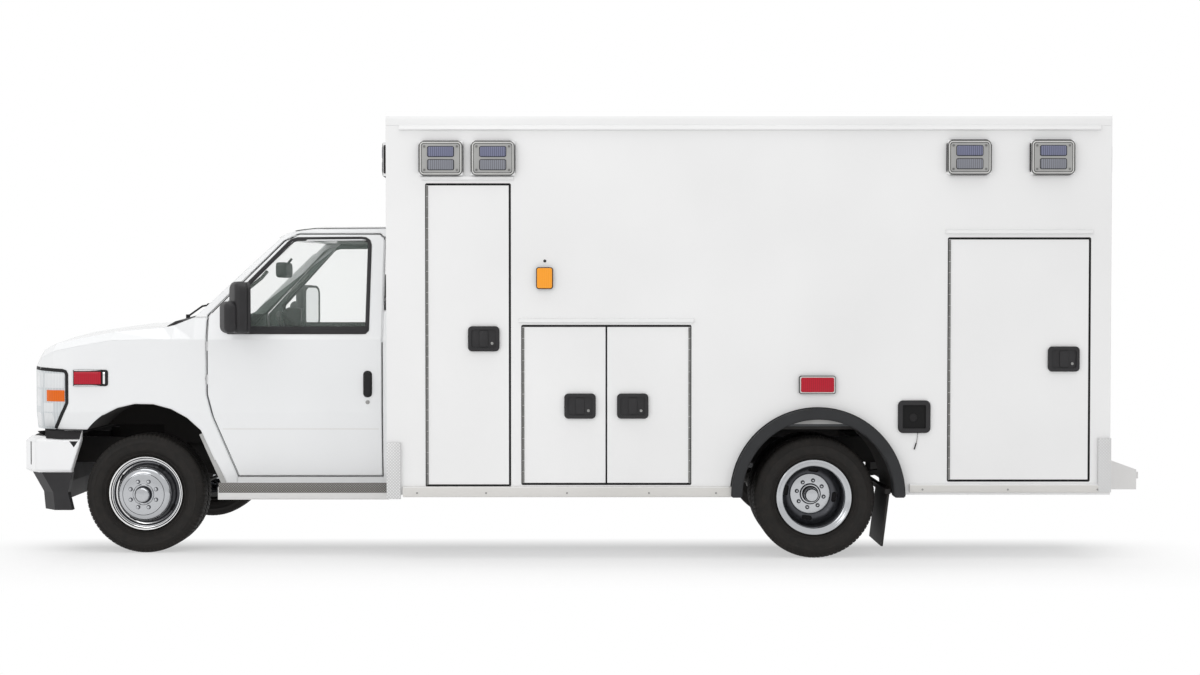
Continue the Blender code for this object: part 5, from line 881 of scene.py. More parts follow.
def warningLight(name, low, high, axis, base, sign):
    proud, corner, root = lightSizes["proud"], lightSizes["corner"], lightSizes["root"]

    def layer(gap, radius, start, rise, bevel=0.0, steps=8, segments=1, box=(low, high)):
        # a rounded plate drawn in by a gap, from a depth to a rise over the light's face
        return prism("layer", rounded(*inset(*box, gap), radius, steps), base + sign * start,
                     base + sign * (proud + rise), axis, bevel, segments)

    edges = [layer(-0.0030, corner + 0.003, -0.0005, -0.0060, 0.002),
             layer(0.0012, corner - 0.0012, root, 0.0006),
             layer(0.0135, corner - 0.0135, root, 0.0026)]
    place(joined(name, edges), name + "_gasket", softBlack)
    place(layer(0.0056, corner - 0.0056, root, 0.0022, 0.0010), name + "_rim", bezelPale)
    place(layer(0.0170, corner - 0.015, root, 0.0036), name + "_bezel", bezelGrey)
    middle = ((low[0] + high[0]) / 2, (low[1] + high[1]) / 2)
    reach = [(high[k] - low[k]) / 2 - lightSizes["screwInset"] for k in (0, 1)]
    screws = []
    for a in (left, right):
        for b in (left, right):
            ends = [onWall(axis, middle[0] + a * reach[0], base + sign * rise,
                           middle[1] + b * reach[1])
                    for rise in (proud, proud + lightSizes["screwHead"])]
            screws.append(rod("screw", *ends, lightSizes["screw"], 16, 0.0008))
    place(joined(name, screws), name + "_screws", hingeGrey)
    half = (high[0] - low[0]) * lightSizes["moduleShare"] / 2
    tall = lightSizes["moduleHeight"] / 2
    for part, way, finish in (("upper", 1, lampBlue), ("lower", -1, lampGrey)):
        z = middle[1] + way * lightSizes["moduleOffset"]
        box = ((middle[0] - half, z - tall), (middle[0] + half, z + tall))
        place(layer(0, 0.011, root, 0.0050, 0.0010, 5, 1, box), name + "_edge_" + part,
              softBlack)
        place(layer(0.0035, 0.009, root, 0.0110, 0.0055, 5, 4, box), name + "_lens_" + part,
              finish, angle=50)


lightRows = (("a", -0.9081, 2.2560), ("b", -0.6028, 2.2560), ("c", 2.1880, 2.2620),
             ("d", 2.6771, 2.2620))
for sideName, side in sides:
    wide, tall = lightSizes["sideSize"]
    for tag, x, z in lightRows:
        warningLight("light_" + sideName + "_" + tag, (x, z), (x + wide, z + tall), "Y",
                     side * wallY, side)
    for end, wall, way in (("front", moduleFront, left), ("rear", moduleRear, right)):
        y, half = side * lightSizes["endMiddle"], lightSizes["endHalf"]
        warningLight("light_" + end + "_" + sideName, (y - half, lightSizes["endLow"]),
                     (y + half, lightSizes["endHigh"]), "X", wall, way)
print("warning lights built")

# marker lamps and rear lamps: a dark edge, a pale flange and a domed lens
markerSizes = {"proud": 0.0215, "rearHalf": 0.0878, "rearHeight": 0.1919, "rearProud": 0.032,
               "rearCorner": 0.016}


def marker(name, low, high, axis, base, sign, finish, proud, corner=0.010, framed=True):
    outline = rounded(*inset(low, high, -0.0042), corner + 0.003, 6)
    place(prism("edge", outline, base - sign * 0.0005, base + sign * (proud + 0.0004), axis),
          name + "_edge", softBlack)
    if framed:
        flange = prism("flange", rounded(*inset(low, high, -0.0005), corner + 0.001),
                       base - sign * 0.0005, base + sign * (proud + 0.0024), axis, 0.0010, 1)
        place(flange, name + "_flange", bezelPale)
    lensPiece = prism("lens", rounded(*inset(low, high, 0.0060 if framed else 0.0005), corner, 6),
                      base + sign * 0.004, base + sign * (proud + 0.0075), axis, 0.0048, 4)
    place(lensPiece, name + "_lens", finish, angle=50)


marker("marker_amber_left", (-0.2182, 1.5959), (-0.1278, 1.7158), "Y", -wallY, left, amberLens,
       markerSizes["proud"], 0.0118, False)
place(dome("marker_dot", (-0.172, -wallY, 1.757), 0.009, (1, 0.6, 1)), "marker_dot_left",
      blackTrim)
for sideName, side in sides:
    marker("marker_red_" + sideName, (1.3271, 0.9800), (1.5339, 1.0780), "Y", side * wallY, side,
           redLens, markerSizes["proud"])
    for tag, z, finish in (("turn", 1.3735, turnLens), ("stop", 1.1477, redLens),
                           ("reverse", 0.9219, lampGrey)):
        y, half = side * lightSizes["endMiddle"], markerSizes["rearHalf"]
        marker("rear_" + tag + "_" + sideName, (y - half, z),
               (y + half, z + markerSizes["rearHeight"]), "X", moduleRear, right, finish,
               markerSizes["rearProud"], markerSizes["rearCorner"])
print("markers and rear lamps built")

# door handles: a black dish with a raised rim, a paddle and a key cylinder
handleSizes = {"rim": 0.0190, "floor": 0.0108, "wall": 0.017, "corner": 0.024,
               "paddle": (0.052, 0.096), "paddleRise": 0.0170, "key": 0.0085, "keyRise": 0.0150,
               "size": (0.180, 0.143)}


def handle(name, low, high, axis, base, sign, body):
    rim = prism("rim", rounded(*inset(low, high, -0.0025), handleSizes["corner"]),
                base - sign * 0.0005, base + sign * handleSizes["rim"], axis, 0.0035, 3)
    tool = prism("tool", rounded(*inset(low, high, handleSizes["wall"]),
                                 handleSizes["corner"] - 0.009, 4),
                 base + sign * handleSizes["floor"], base + sign * 0.05, axis)
    cutWith(rim, tool)
    middle = ((low[0] + high[0]) / 2, (low[1] + high[1]) / 2)
    wide, tall = handleSizes["paddle"]
    paddle = prism("paddle", rounded((middle[0] - wide / 2, middle[1] - tall / 2),
                                     (middle[0] + wide / 2, middle[1] + tall / 2), 0.012),
                   base + sign * handleSizes["floor"],
                   base + sign * handleSizes["paddleRise"], axis, 0.0030, 2)
    place(joined(name, [rim, paddle]), name, blackTrim, body)
    ends = [onWall(axis, middle[0] + wide * 0.95, base + sign * rise, middle[1] - tall * 0.28)
            for rise in (handleSizes["floor"], handleSizes["keyRise"])]
    place(rod("key", *ends, handleSizes["key"], 20, 0.001), name + "_key", bareScrew, body)


handleRows = (("locker_door_front", left, -0.6209, 1.2281),
              ("locker_door_middle_front", left, -0.0551, 0.8321),
              ("locker_door_middle_rear", left, 0.2549, 0.8321),
              ("locker_door_rear", left, 2.7890, 1.1091),
              ("locker_door_kerb_front", right, -0.6209, 1.2281),
              ("entry_door", right, 0.3338, 1.0574),
              ("locker_door_kerb_rear", right, 2.7890, 1.1091))
wide, tall = handleSizes["size"]
for name, side, x, z in handleRows:
    handle(name + "_handle", (x, z), (x + wide, z + tall), "Y", side * wallY, side, name)
for sideName, side in sides:
    low, high = sorted((side * 0.065, side * 0.208))
    handle("rear_door_handle_" + sideName, (low, 1.0574), (high, 1.2374), "X", moduleRear, right,
           "rear_door_" + sideName)
print("handles built")

# door seals in the shut gaps, and piano hinges with separate knuckles
doorRows = (("locker_door_front", left, -0.8701, -0.3759, 0.4331, 2.2081, left),
            ("locker_door_middle_front", left, -0.3060, 0.1899, 0.4421, 1.3769, left),
            ("locker_door_middle_rear", left, 0.1899, 0.6858, 0.4421, 1.3769, right),
            ("locker_door_rear", left, 2.2017, 3.0340, 0.4620, 1.8911, left),
            ("locker_door_kerb_front", right, -0.8701, -0.3759, 0.4331, 2.2081, left),
            ("entry_door", right, -0.2314, 0.5788, 0.4331, 2.2767, left),
            ("locker_door_kerb_rear", right, 2.2017, 3.0340, 0.4620, 1.8911, left))
hingeSizes = {"radius": 0.0069, "knuckle": 0.062, "gap": 0.0016, "space": 0.0063}
sealSizes = {"width": 0.0056, "low": 1.1960, "high": 1.2118, "inset": 0.0008,
             "ringGrow": 0.0048, "ringWidth": 0.0054, "ringLow": 1.2100, "ringHigh": 1.2208}
rubberSizes = {"grow": 0.012, "corner": 0.030, "width": 0.026, "sink": 0.006, "rise": 0.0055}


def knuckles(name, spot, low, high, body):
    count = int((high - low) / hingeSizes["knuckle"])
    pitch = (high - low) / count
    pieces = [rod("knuckle", (spot[0], spot[1], low + i * pitch),
                  (spot[0], spot[1], low + (i + 1) * pitch - hingeSizes["gap"]),
                  hingeSizes["radius"], 14) for i in range(count)]
    place(joined(name, pieces), name, hingeGrey, body)


for name, side, start, end, low, high, hinged in doorRows:
    spot = (start + hingeSizes["space"] if hinged == left else end - hingeSizes["space"],
            side * wallY)
    knuckles(name + "_hinge", spot, low + 0.009, high - 0.009, name)
frames = [row[:6] for row in doorRows if "middle" not in row[0]]
frames.append(("locker_middle", left, -0.3060, 0.6858, 0.4421, 1.3769))
for name, side, start, end, low, high in frames:
    box = ((start, low), (end, high))
    seal = loopBand("seal", rounded(*inset(*box, sealSizes["inset"]), 0.006, 2),
                    sealSizes["width"], side * sealSizes["low"], side * sealSizes["high"])
    ring = loopBand("ring", rounded(*inset(*box, -sealSizes["ringGrow"]), 0.009, 2),
                    sealSizes["ringWidth"], side * sealSizes["ringLow"],
                    side * sealSizes["ringHigh"])
    place(joined("seal", [seal, ring]), name + "_seal", softBlack)
for sideName, side in sides:
    knuckles("rear_door_hinge_" + sideName, (moduleRear, side * 0.6337), 0.870, 2.240,
             "rear_door_" + sideName)
seal = loopBand("seal", rounded((-0.6392, 0.8606), (0.6392, 2.2492), 0.006, 2),
                sealSizes["width"], 3.134, 3.150, "X")
place(seal, "rear_doorway_seal", softBlack)
for name, axis, body in (("entry_glass", "Y", "entry_door"),
                         ("rear_glass_left", "X", "rear_door_left"),
                         ("rear_glass_right", "X", "rear_door_right")):
    low, high = boxOf(name)
    k = 0 if axis == "Y" else 1
    outline = rounded(*inset((low[k], low[2]), (high[k], high[2]), -rubberSizes["grow"]),
                      rubberSizes["corner"])
    base = wallY if axis == "Y" else moduleRear
    ring = loopBand("ring", outline, rubberSizes["width"], base - rubberSizes["sink"],
                    base + rubberSizes["rise"], axis)
    place(bevelEdges(ring, 0.002, 2), name + "_rubber", softBlack, body)
print("seals and hinges built")

# wheel-arch flares in black rubber with the dark housings behind them
flareSizes = {"middle": 0.4783, "width": 0.0662, "inner": 1.1670, "outer": 1.2716,
              "bead": 0.5140, "beadWidth": 0.006, "housing": 0.4505, "housingDepth": 0.70,
              "panel": 0.4465}
for sideName, side in sides:
    path = arc(flareCentre, flareSizes["middle"], -1.6, 181.6, 60)
    flare = band("flare", path, flareSizes["width"], side * flareSizes["inner"],
                 side * flareSizes["outer"], "Y", 0.009)
    place(flare, "arch_flare_" + sideName, flareRubber, angle=30)
    bead = band("bead", arc(flareCentre, flareSizes["bead"], -1.0, 181.0, 60),
                flareSizes["beadWidth"], side * 1.2190, side * 1.2265, "Y", 0.0015)
    place(bead, "arch_bead_" + sideName, softBlack)
    housing = band("housing", arc(flareCentre, flareSizes["housing"], 0, 180, 40), 0.0040,
                   side * flareSizes["housingDepth"], side * 1.1680)
    place(housing, "arch_housing_" + sideName, linerBlack, angle=50)
    # the pale end of the floor and a dark beam under it, seen at the top of the arch
    panel = prism("panel", arc(flareCentre, flareSizes["panel"], 69, 111, 12), side * 1.2060,
                  side * 1.2140)
    place(panel, "arch_panel_" + sideName, splashGrey)
    beam = cube("beam", (1.2000, side * 1.1300, 0.7600), (1.6700, side * 1.1440, 0.7985), 0.003)
    place(beam, "arch_beam_" + sideName, chassisBlack)
print("flares built")

# fuel filler: a black well with a capped neck and a tether
fillerSizes = {"low": (1.9070, 0.7460), "high": (2.0955, 0.9360), "rim": 0.0170,
               "floor": 0.0090, "wall": 0.026}


def fillerPlate(gap, corner, steps, start, end, bevel=0.0, segments=2):
    # a rounded plate drawn in from the filler's box, between two rises over the wall
    outline = rounded(*inset(fillerSizes["low"], fillerSizes["high"], gap), corner, steps)
    return prism("plate", outline, -wallY - start, -wallY - end, "Y", bevel, segments)


rim = fillerPlate(-0.0015, 0.030, 5, -0.0005, fillerSizes["rim"], 0.005, 3)
cutWith(rim, fillerPlate(fillerSizes["wall"], 0.006, 3, fillerSizes["floor"], 0.05))
place(rim, "filler_rim", blackTrim)
# the well's floor is far darker than its rim: painted shade in the recess
place(fillerPlate(0.020, 0.008, 3, 0.0040, fillerSizes["floor"] + 0.0006), "filler_well",
      fillerShadeBlack)
cap = turned("cap", [(0.0002, wallY + 0.0142), (0.018, wallY + 0.0142), (0.022, wallY + 0.0130),
                     (0.024, wallY + 0.0088), (0.0002, wallY + 0.0088)], (1.996, 0.836), 32, left)
grip = cube("grip", (1.977, -wallY - 0.0168, 0.831), (2.015, -wallY - 0.0130, 0.841), 0.0015)
place(joined("cap", [cap, grip]), "filler_cap", softBlack)
tether = [rod("cord", (2.024, -wallY - 0.004, 0.7480), (2.019, -wallY - 0.005, 0.7050), 0.0013, 8),
          rod("cord", (2.019, -wallY - 0.005, 0.7050), (2.012, -wallY - 0.004, 0.6750), 0.0013, 8),
          rod("tag", (2.015, -wallY - 0.004, 0.6860), (2.003, -wallY - 0.004, 0.6480), 0.0040, 10,
              0.001)]
place(joined("tether", tether), "filler_tether", softBlack)
print("filler built")

# skirt rails with screws, tread-plate rock guards and drip rails
railSizes = {"root": 1.2195, "screw": 0.0058}
skirtRows = ((-1.0075, 0.9300, 0.3650, 0.4270, (-0.924, -0.518, -0.0416, 0.4407, 0.835)),
             (1.9750, 3.1570, 0.3930, 0.4400, (2.050, 2.552, 3.080)))
guardRows = ((-1.1030, -1.0200, 0.3560, 0.6880), (3.0830, 3.1595, 0.3970, 0.7150))
dripRows = {left: ((-0.8932, -0.3572, 2.2329), (-0.3252, 0.7050, 1.3961),
                   (2.1842, 3.0460, 1.9179)),
            right: ((-0.8932, -0.3572, 2.2329), (-0.2527, 0.6001, 2.3038),
                    (2.1842, 3.0460, 1.9179))}


def railAlong(side, profile, start, end, bevel):
    # a rail along the wall, from a profile of (distance from the middle, height)
    return prism("rail", [(side * y, z) for y, z in profile], start, end, "X", bevel, 1)


for sideName, side in sides:
    wall = railSizes["root"]
    rails, screws, guards, drips = [], [], [], []
    for start, end, low, high, spots in skirtRows:
        rails.append(railAlong(side, ((wall, low), (1.2385, low + 0.003), (1.2400, low + 0.010),
                                      (1.2400, high - 0.008), (1.2370, high),
                                      (wall, high + 0.003)), start - 0.001, end + 0.001, 0.001))
        level = (low + high) / 2 - 0.004
        screws += [rod("screw", (x, side * 1.2395, level), (x, side * 1.2420, level),
                       railSizes["screw"], 14, 0.0008) for x in spots]
    for start, end, low, high in guardRows:
        y = sorted((side * wall, side * 1.2425 if start < 0 else side * 1.2410))
        guards.append(cube("guard", (start, y[0], low), (end, y[1], high), 0.0020))
    for start, end, low in dripRows[side]:
        drips.append(railAlong(side, ((wall, low - 0.001), (1.2345, low - 0.001),
                                      (1.2362, low + 0.004), (1.2340, low + 0.006),
                                      (1.2340, low + 0.0200), (wall, low + 0.0235)),
                               start - 0.001, end + 0.001, 0.0008))
    drips.append(railAlong(side, ((wall, 2.5248), (1.2360, 2.5248), (1.2385, 2.5290),
                                  (1.2365, 2.5330), (1.2350, 2.5500), (wall, 2.5560)),
                           -1.0285, 3.0895, 0.0008))
    # the skirt rails' grey is painted shade on white rails
    place(joined("rails", rails), "skirt_rails_" + sideName, shadeGrey)
    place(joined("screws", screws), "skirt_screws_" + sideName, bareScrew)
    place(joined("guards", guards), "rock_guards_" + sideName, plateAluminium)
    # a thin black plate in the slot beside the rear step: painted shade of the opening
    slot = cube("slot", (3.1660, side * 1.0780, 0.3980), (3.1930, side * 1.0812, 0.4830), 0.001)
    place(slot, "step_slot_shade_" + sideName, softBlack)
    place(joined("drips", drips), "drip_rails_" + sideName, modulePaint)
print("rails and guards built")


# draped strips: closed forms that lie on the frame's own surface

def hitsOn(start, way, names):
    # where a ray from outside first meets each of some frame nodes
    spots = []
    for name in names:
        obj = nodes[name]
        inverse = obj.matrix_world.inverted()
        hit, spot, _, _ = obj.ray_cast(inverse @ Vector(start),
                                       inverse.to_3x3() @ Vector(way))
        if hit:
            spots.append(obj.matrix_world @ spot)
    return spots


def surfaceY(x, z, names, side):
    # the outermost distance from the centre at a place, over some frame nodes
    spots = hitsOn((x, side * 2, z), (0, -side, 0), names)
    return max((abs(spot.y) for spot in spots), default=None)


def surfaceZ(x, y, names):
    # the topmost height at a place, over some frame nodes
    return max((spot.z for spot in hitsOn((x, y, 3), (0, 0, -1), names)), default=1.40)


def widestY(x, z, names, side, reach):
    # the same, over a small cross of places, so that a strip can bridge a gap
    spots = [(x, z)]
    if reach:
        spots += [(x + reach, z), (x - reach, z), (x, z + reach), (x, z - reach)]
    found = [surfaceY(a, b, names, side) for a, b in spots]
    found = [y for y in found if y is not None]
    return max(found) if found else None


def gridFaces(rows, columns, closed=False):
    # the faces of a sheet with thickness: its upper grid of points, its lower one, its edges
    size = rows * columns
    spans = [(j, (j + 1) % columns) for j in range(columns if closed else columns - 1)]
    faces = []
    for i in range(rows - 1):
        a, b = i * columns, (i + 1) * columns
        for level in (0, size):
            faces += [(level + a + j, level + a + k, level + b + k, level + b + j)
                      for j, k in spans]
        if not closed:
            faces += [(a + j, b + j, size + b + j, size + a + j) for j in (0, columns - 1)]
    for a in (0, size - columns):
        faces += [(a + j, a + k, size + a + k, size + a + j) for j, k in spans]
    return faces


def drapeGrid(name, rows, names, side, rise, sink, closed=False, bevel=0.0, reach=0.0):
    # rows of places (x, z): a sheet laid on the surface and given thickness
    heights = [[widestY(x, z, names, side, reach) for x, z in row] for row in rows]
    known = [y for row in heights for y in row if y is not None]
    for j in range(len(rows[0])):
        column = [row[j] for row in heights if row[j] is not None]
        for row in heights:
            if row[j] is None:
                row[j] = max(column) if column else max(known)
    points = [(x, side * (y + extra), z) for extra in (rise, -sink)
              for row, line in zip(rows, heights) for (x, z), y in zip(row, line)]
    obj = outwards(fromData(name, points, gridFaces(len(rows), len(rows[0]), closed)))
    if bevel:
        bevelEdges(obj, bevel, 2, 50)
    return obj


def pathRows(path, width, closed=False, across=2):
    # rows at even distances either side of a path
    rows = [[] for _ in range(across)]
    count = len(path)
    for i, (a, b) in enumerate(path):
        before = path[i - 1] if closed or i else path[0]
        after = path[(i + 1) % count] if closed or i < count - 1 else path[-1]
        run = Vector((after[0] - before[0], after[1] - before[1])).normalized()
        for k in range(across):
            shift = width * (k / (across - 1) - 0.5)
            rows[k].append((a - run.y * shift, b + run.x * shift))
    return rows


def finer(path, step, closed=False):
    # the same path with more points along it
    points = []
    last = len(path) if closed else len(path) - 1
    for i in range(last):
        a, b = path[i], path[(i + 1) % len(path)]
        count = max(1, round(math.dist(a, b) / step))
        points += [(a[0] + (b[0] - a[0]) * k / count, a[1] + (b[1] - a[1]) * k / count)
                   for k in range(count)]
    return points if closed else points + [path[-1]]


def drapeStrip(name, path, width, names, side, rise, sink, closed=False, bevel=0.0,
               step=0.04, reach=0.0):
    rows = pathRows(finer(path, step, closed), width, closed)
    return drapeGrid(name, rows, names, side, rise, sink, closed, bevel, reach)


def drapePatch(name, low, high, names, side, rise, sink, bevel=0.0, counts=(7, 4)):
    rows = [[(low[0] + (high[0] - low[0]) * i / (counts[0] - 1),
              low[1] + (high[1] - low[1]) * j / (counts[1] - 1)) for i in range(counts[0])]
            for j in range(counts[1])]
    return drapeGrid(name, rows, names, side, rise, sink, False, bevel)


# cab doors: window seal, belt strip, shut-line seal, handle, drip line and mirror
doorSizes = {"sealWidth": 0.024, "sealRise": 0.0040, "beltWidth": 0.034, "lineWidth": 0.0056,
             "gap": 0.0116}
windowPath = [(-2.100, 1.345), (-2.085, 1.334), (-1.262, 1.334), (-1.250, 1.346),
              (-1.249, 1.862), (-1.256, 1.886), (-1.276, 1.899), (-1.300, 1.902),
              (-1.690, 1.899), (-1.722, 1.890), (-1.742, 1.874), (-2.100, 1.498),
              (-2.108, 1.480), (-2.109, 1.360)]
doorPath = [(-1.1585, 0.4645), (-1.1585, 1.890), (-1.167, 1.919), (-1.188, 1.9300),
            (-1.677, 1.9300), (-1.731, 1.915), (-1.769, 1.886), (-2.188, 1.453),
            (-2.2165, 1.402), (-2.2215, 0.960), (-2.2125, 0.902), (-2.184, 0.819),
            (-2.036, 0.473), (-2.024, 0.4645)]
for sideName, side in sides:
    door = body = "cab_door_" + sideName
    ring = drapeStrip("seal", windowPath, doorSizes["sealWidth"], (door,), side,
                      doorSizes["sealRise"], 0.014, True, 0.0015, 0.03)
    belt = drapeStrip("belt", [(-2.100, 1.352), (-1.250, 1.352)], doorSizes["beltWidth"],
                      (door,), side, doorSizes["sealRise"] + 0.001, 0.012, False, 0.0015)
    place(joined("seal", [ring, belt]), "cab_window_seal_" + sideName, blackTrim, body)
    # the gap is filled in the body's colour, with the dark seal as a narrower line on it
    skin = ("cab_shell", "front_clip", door)
    fill = drapeStrip("fill", doorPath, doorSizes["gap"], skin, side, -0.0042, 0.012, True, 0.0,
                      0.05, 0.012)
    place(fill, "cab_shut_fill_" + sideName, cabPaint)
    shut = drapeStrip("shut", doorPath, doorSizes["lineWidth"], skin, side, -0.0030, 0.008,
                      True, 0.0, 0.05, 0.012)
    place(shut, "cab_shut_seal_" + sideName, softBlack)
    # a faint pressed line across the door, drawn as a thin grey strip of painted shade
    crease = drapeStrip("crease", [(-2.120, 0.7510), (-1.180, 0.7510)], 0.0040, (door,), side,
                        0.0005, 0.002)
    place(crease, "cab_door_crease_shade_" + sideName, shadeGrey, body)
    grip = prism("grip", rounded((-1.2660, 0.9500), (-1.2250, 1.0940), 0.0195, 8),
                 side * 0.990, side * 1.0215, "Y", 0.006, 3)
    recess = prism("recess", rounded((-1.2720, 0.9420), (-1.2190, 1.1020), 0.024, 8),
                   side * 0.990, side * 1.0040, "Y", 0.001, 1)
    place(joined("grip", [grip, recess]), "cab_handle_" + sideName, softBlack, body)
    place(rod("lock", (-1.246, side * 0.995, 0.913), (-1.246, side * 1.0030, 0.913), 0.0125, 24,
              0.001), "cab_lock_" + sideName, bareScrew, body)
    # a thin rubber line over the roof's edge, from the pillar's top to the cab's rear
    path = finer([(-1.740, 1.9560), (-1.690, 1.9640), (-1.600, 1.9680), (-1.120, 1.9700)], 0.07)
    spots = [(x, surfaceY(x, z, ("cab_shell",), side), z) for x, z in path]
    spots = [Vector((x, side * (y + 0.001), z)) for x, y, z in spots if y is not None]
    cords = [rod("cord", spots[i], spots[i + 1], 0.0042, 8) for i in range(len(spots) - 1)]
    place(joined("drip", cords), "cab_drip_" + sideName, softBlack)
    # a thin grey line along the seam in front of the door: painted shade
    post = drapeStrip("post", [(-2.225, 1.4270), (-2.290, 1.4275)], 0.0022,
                      ("cab_shell", "front_clip"), side, 0.0006, 0.003)
    place(post, "pillar_seam_shade_" + sideName, shadeGrey)
print("cab door details built")

# mirrors: a tall rounded housing with a second hood in front, turned in to the driver
mirrorSizes = {"turn": 24, "spot": (-1.985, 1.170), "depth": 0.086, "half": 0.102,
               "low": 1.328, "high": 1.637, "hoodHigh": 1.520, "glassInset": 0.018}


def shrunk(outline, amount):
    # an outline drawn in towards its middle
    middle = [sum(p[k] for p in outline) / len(outline) for k in (0, 1)]
    size = [max(abs(p[k] - middle[k]) for p in outline) for k in (0, 1)]
    return [tuple(middle[k] + (p[k] - middle[k]) * (size[k] - amount) / size[k]
                  for k in (0, 1)) for p in outline]


for sideName, side in sides:
    body = "cab_door_" + sideName
    depth, half = mirrorSizes["depth"], mirrorSizes["half"]
    low, high = mirrorSizes["low"], mirrorSizes["high"]
    outline = rounded((-half, low), (half, high), 0.060, 8)
    shell = prism("shell", outline, -depth * 0.45, depth * 0.55, "X", 0.034, 6)
    front = prism("front", rounded((-half * 0.93, low + 0.004),
                                   (half * 0.88, mirrorSizes["hoodHigh"]), 0.045, 8),
                  -depth * 1.15, -depth * 0.20, "X", 0.036, 6)
    lip = loopBand("lip", shrunk(outline, 0.004), 0.016, depth * 0.40, depth * 0.60, "X")
    housing = joined("housing", [shell, front, lip])
    glass = prism("glass", rounded((-half + mirrorSizes["glassInset"], low + 0.014),
                                   (half - mirrorSizes["glassInset"], high - 0.014), 0.040, 8),
                  depth * 0.52, depth * 0.575, "X")
    # turned about the upright through the mirror's middle, and set beside the door
    turn = Matrix.Rotation(math.radians(-side * mirrorSizes["turn"]), 4, "Z")
    spot = Matrix.Translation((mirrorSizes["spot"][0], side * mirrorSizes["spot"][1], 0))
    for obj in (housing, glass):
        obj.data.transform(spot @ turn)
    arms = [rod("arm", (-2.030, side * 0.962, z), (-1.990, side * 1.115, z + 0.012), 0.0135, 16)
            for z in (1.372, 1.448)]
    foot = prism("foot", rounded((-2.100, 1.340), (-1.985, 1.475), 0.030, 5), side * 0.930,
                 side * 0.984, "Y", 0.010, 3)
    place(joined("mirror", [housing, foot] + arms), "mirror_housing_" + sideName, blackTrim,
          body, "black_plastic", 45, ("mirror_" + sideName,))
    place(glass, "mirror_glass_" + sideName, mirrorGlass, body)
print("mirrors built")

# nose: headlamp blocks and gasket, side lamps, bumper seam, shelf and splash strips
noseSizes = {"gasket": 0.020, "gasketRise": 0.0035,
             "gasketPath": ((-3.318, 1.1145), (-3.200, 1.1080), (-3.092, 1.1020),
                            (-3.072, 1.0960), (-3.064, 1.0800), (-3.064, 0.9080),
                            (-3.078, 0.8750), (-3.146, 0.7500)),
             # the reflector's blocks: two corners and how far each stands proud
             "blocks": (((-3.215, 0.9960), (-3.080, 1.0850), 0.0022),
                        ((-3.310, 0.9960), (-3.225, 1.0900), 0.0016),
                        ((-3.310, 0.7600), (-3.235, 0.9850), 0.0016),
                        ((-3.225, 0.7600), (-3.150, 0.9050), 0.0014))}
noseSkin = ("front_clip", "headlamp_left", "headlamp_right", "hood")
for sideName, side in sides:
    lamp = "headlamp_" + sideName
    gasket = drapeStrip("gasket", noseSizes["gasketPath"], noseSizes["gasket"], noseSkin, side,
                        noseSizes["gasketRise"], 0.010, False, 0.001, 0.02)
    place(gasket, "headlamp_gasket_" + sideName, softBlack)
    blocks = [drapePatch("block", low, high, (lamp,), side, rise, 0.004, 0.001)
              for low, high, rise in noseSizes["blocks"]]
    place(joined("blocks", blocks), "headlamp_blocks_" + sideName, reflectorGrey)
    amber = drapePatch("amber", (-3.200, 0.9150), (-3.078, 0.9830), (lamp,), side, 0.0030, 0.004,
                       0.001)
    place(amber, "headlamp_amber_" + sideName, turnLens)
    skin = ("front_clip",)
    frameRing = drapeStrip("frame", rounded((-3.0180, 1.0160), (-2.8160, 1.1010), 0.008, 3),
                           0.014, skin, side, 0.0050, 0.010, True, 0.001, 0.03)
    backing = drapePatch("back", (-3.0180, 1.0160), (-2.8160, 1.1010), skin, side, 0.0012, 0.006)
    place(joined("frame", [frameRing, backing]), "side_lamp_frame_" + sideName, softBlack)
    red = drapePatch("red", (-3.0130, 1.0210), (-2.8500, 1.0960), skin, side, 0.0085, 0.004,
                     0.002)
    place(red, "side_lamp_red_" + sideName, redLens)
    tab = drapePatch("tab", (-2.8380, 1.0230), (-2.8250, 1.0940), skin, side, 0.0070, 0.004,
                     0.001)
    place(tab, "side_lamp_tab_" + sideName, brightSteel)
    seam = drapeStrip("seam", [(-3.292, 0.500), (-3.292, 0.672)], 0.0075, ("front_bumper",),
                      side, 0.0010, 0.006)
    notch = drapeGrid("notch", [[(-3.048, 0.6760), (-2.996, 0.6760)],
                                [(-3.022, 0.6400), (-3.020, 0.6400)]], ("front_bumper",), side,
                      0.0010, 0.006)
    # the black filler between the fender's foot and the bumper's top edge
    filler = drapeGrid("filler", [[(-3.240, 0.7370), (-3.215, 0.7370), (-3.190, 0.7370),
                                   (-3.100, 0.7370), (-2.986, 0.7370)],
                                  [(-3.232, 0.7280), (-3.215, 0.7080), (-3.190, 0.6940),
                                   (-3.100, 0.6880), (-2.990, 0.6880)]], ("front_bumper",), side,
                       0.0075, 0.006)
    place(joined("seam", [seam, notch, filler]), "bumper_seam_" + sideName, softBlack)
    # a pale strip inside the rear lip of the wheel arch, as far as the sill
    edge = [(-2.242, 0.722), (-2.197, 0.620), (-2.148, 0.510), (-2.108, 0.4215)]
    strip = band("strip", [(x - 0.010, z) for x, z in edge], 0.030, side * 0.9720,
                 side * 0.9800, "Y", 0.002)
    place(strip, "splash_strip_" + sideName, splashGrey)
shelf = joined("shelf", [cube("shelf", (-3.230, -0.880, 0.715), (-3.060, 0.880, 0.748), 0.006),
                         cube("shelf", (-3.150, -0.930, 0.715), (-3.010, 0.930, 0.748), 0.006)])
place(shelf, "bumper_shelf", softBlack)
print("nose details built")

# grille: a dark net behind the frame's bright bars
low, high = boxOf("grille")
place(cube("net", (high[0] - 0.016, low[1] + 0.03, low[2] + 0.02),
           (high[0] - 0.010, high[1] - 0.03, high[2] - 0.02)), "grille_net", softBlack)
print("grille built")

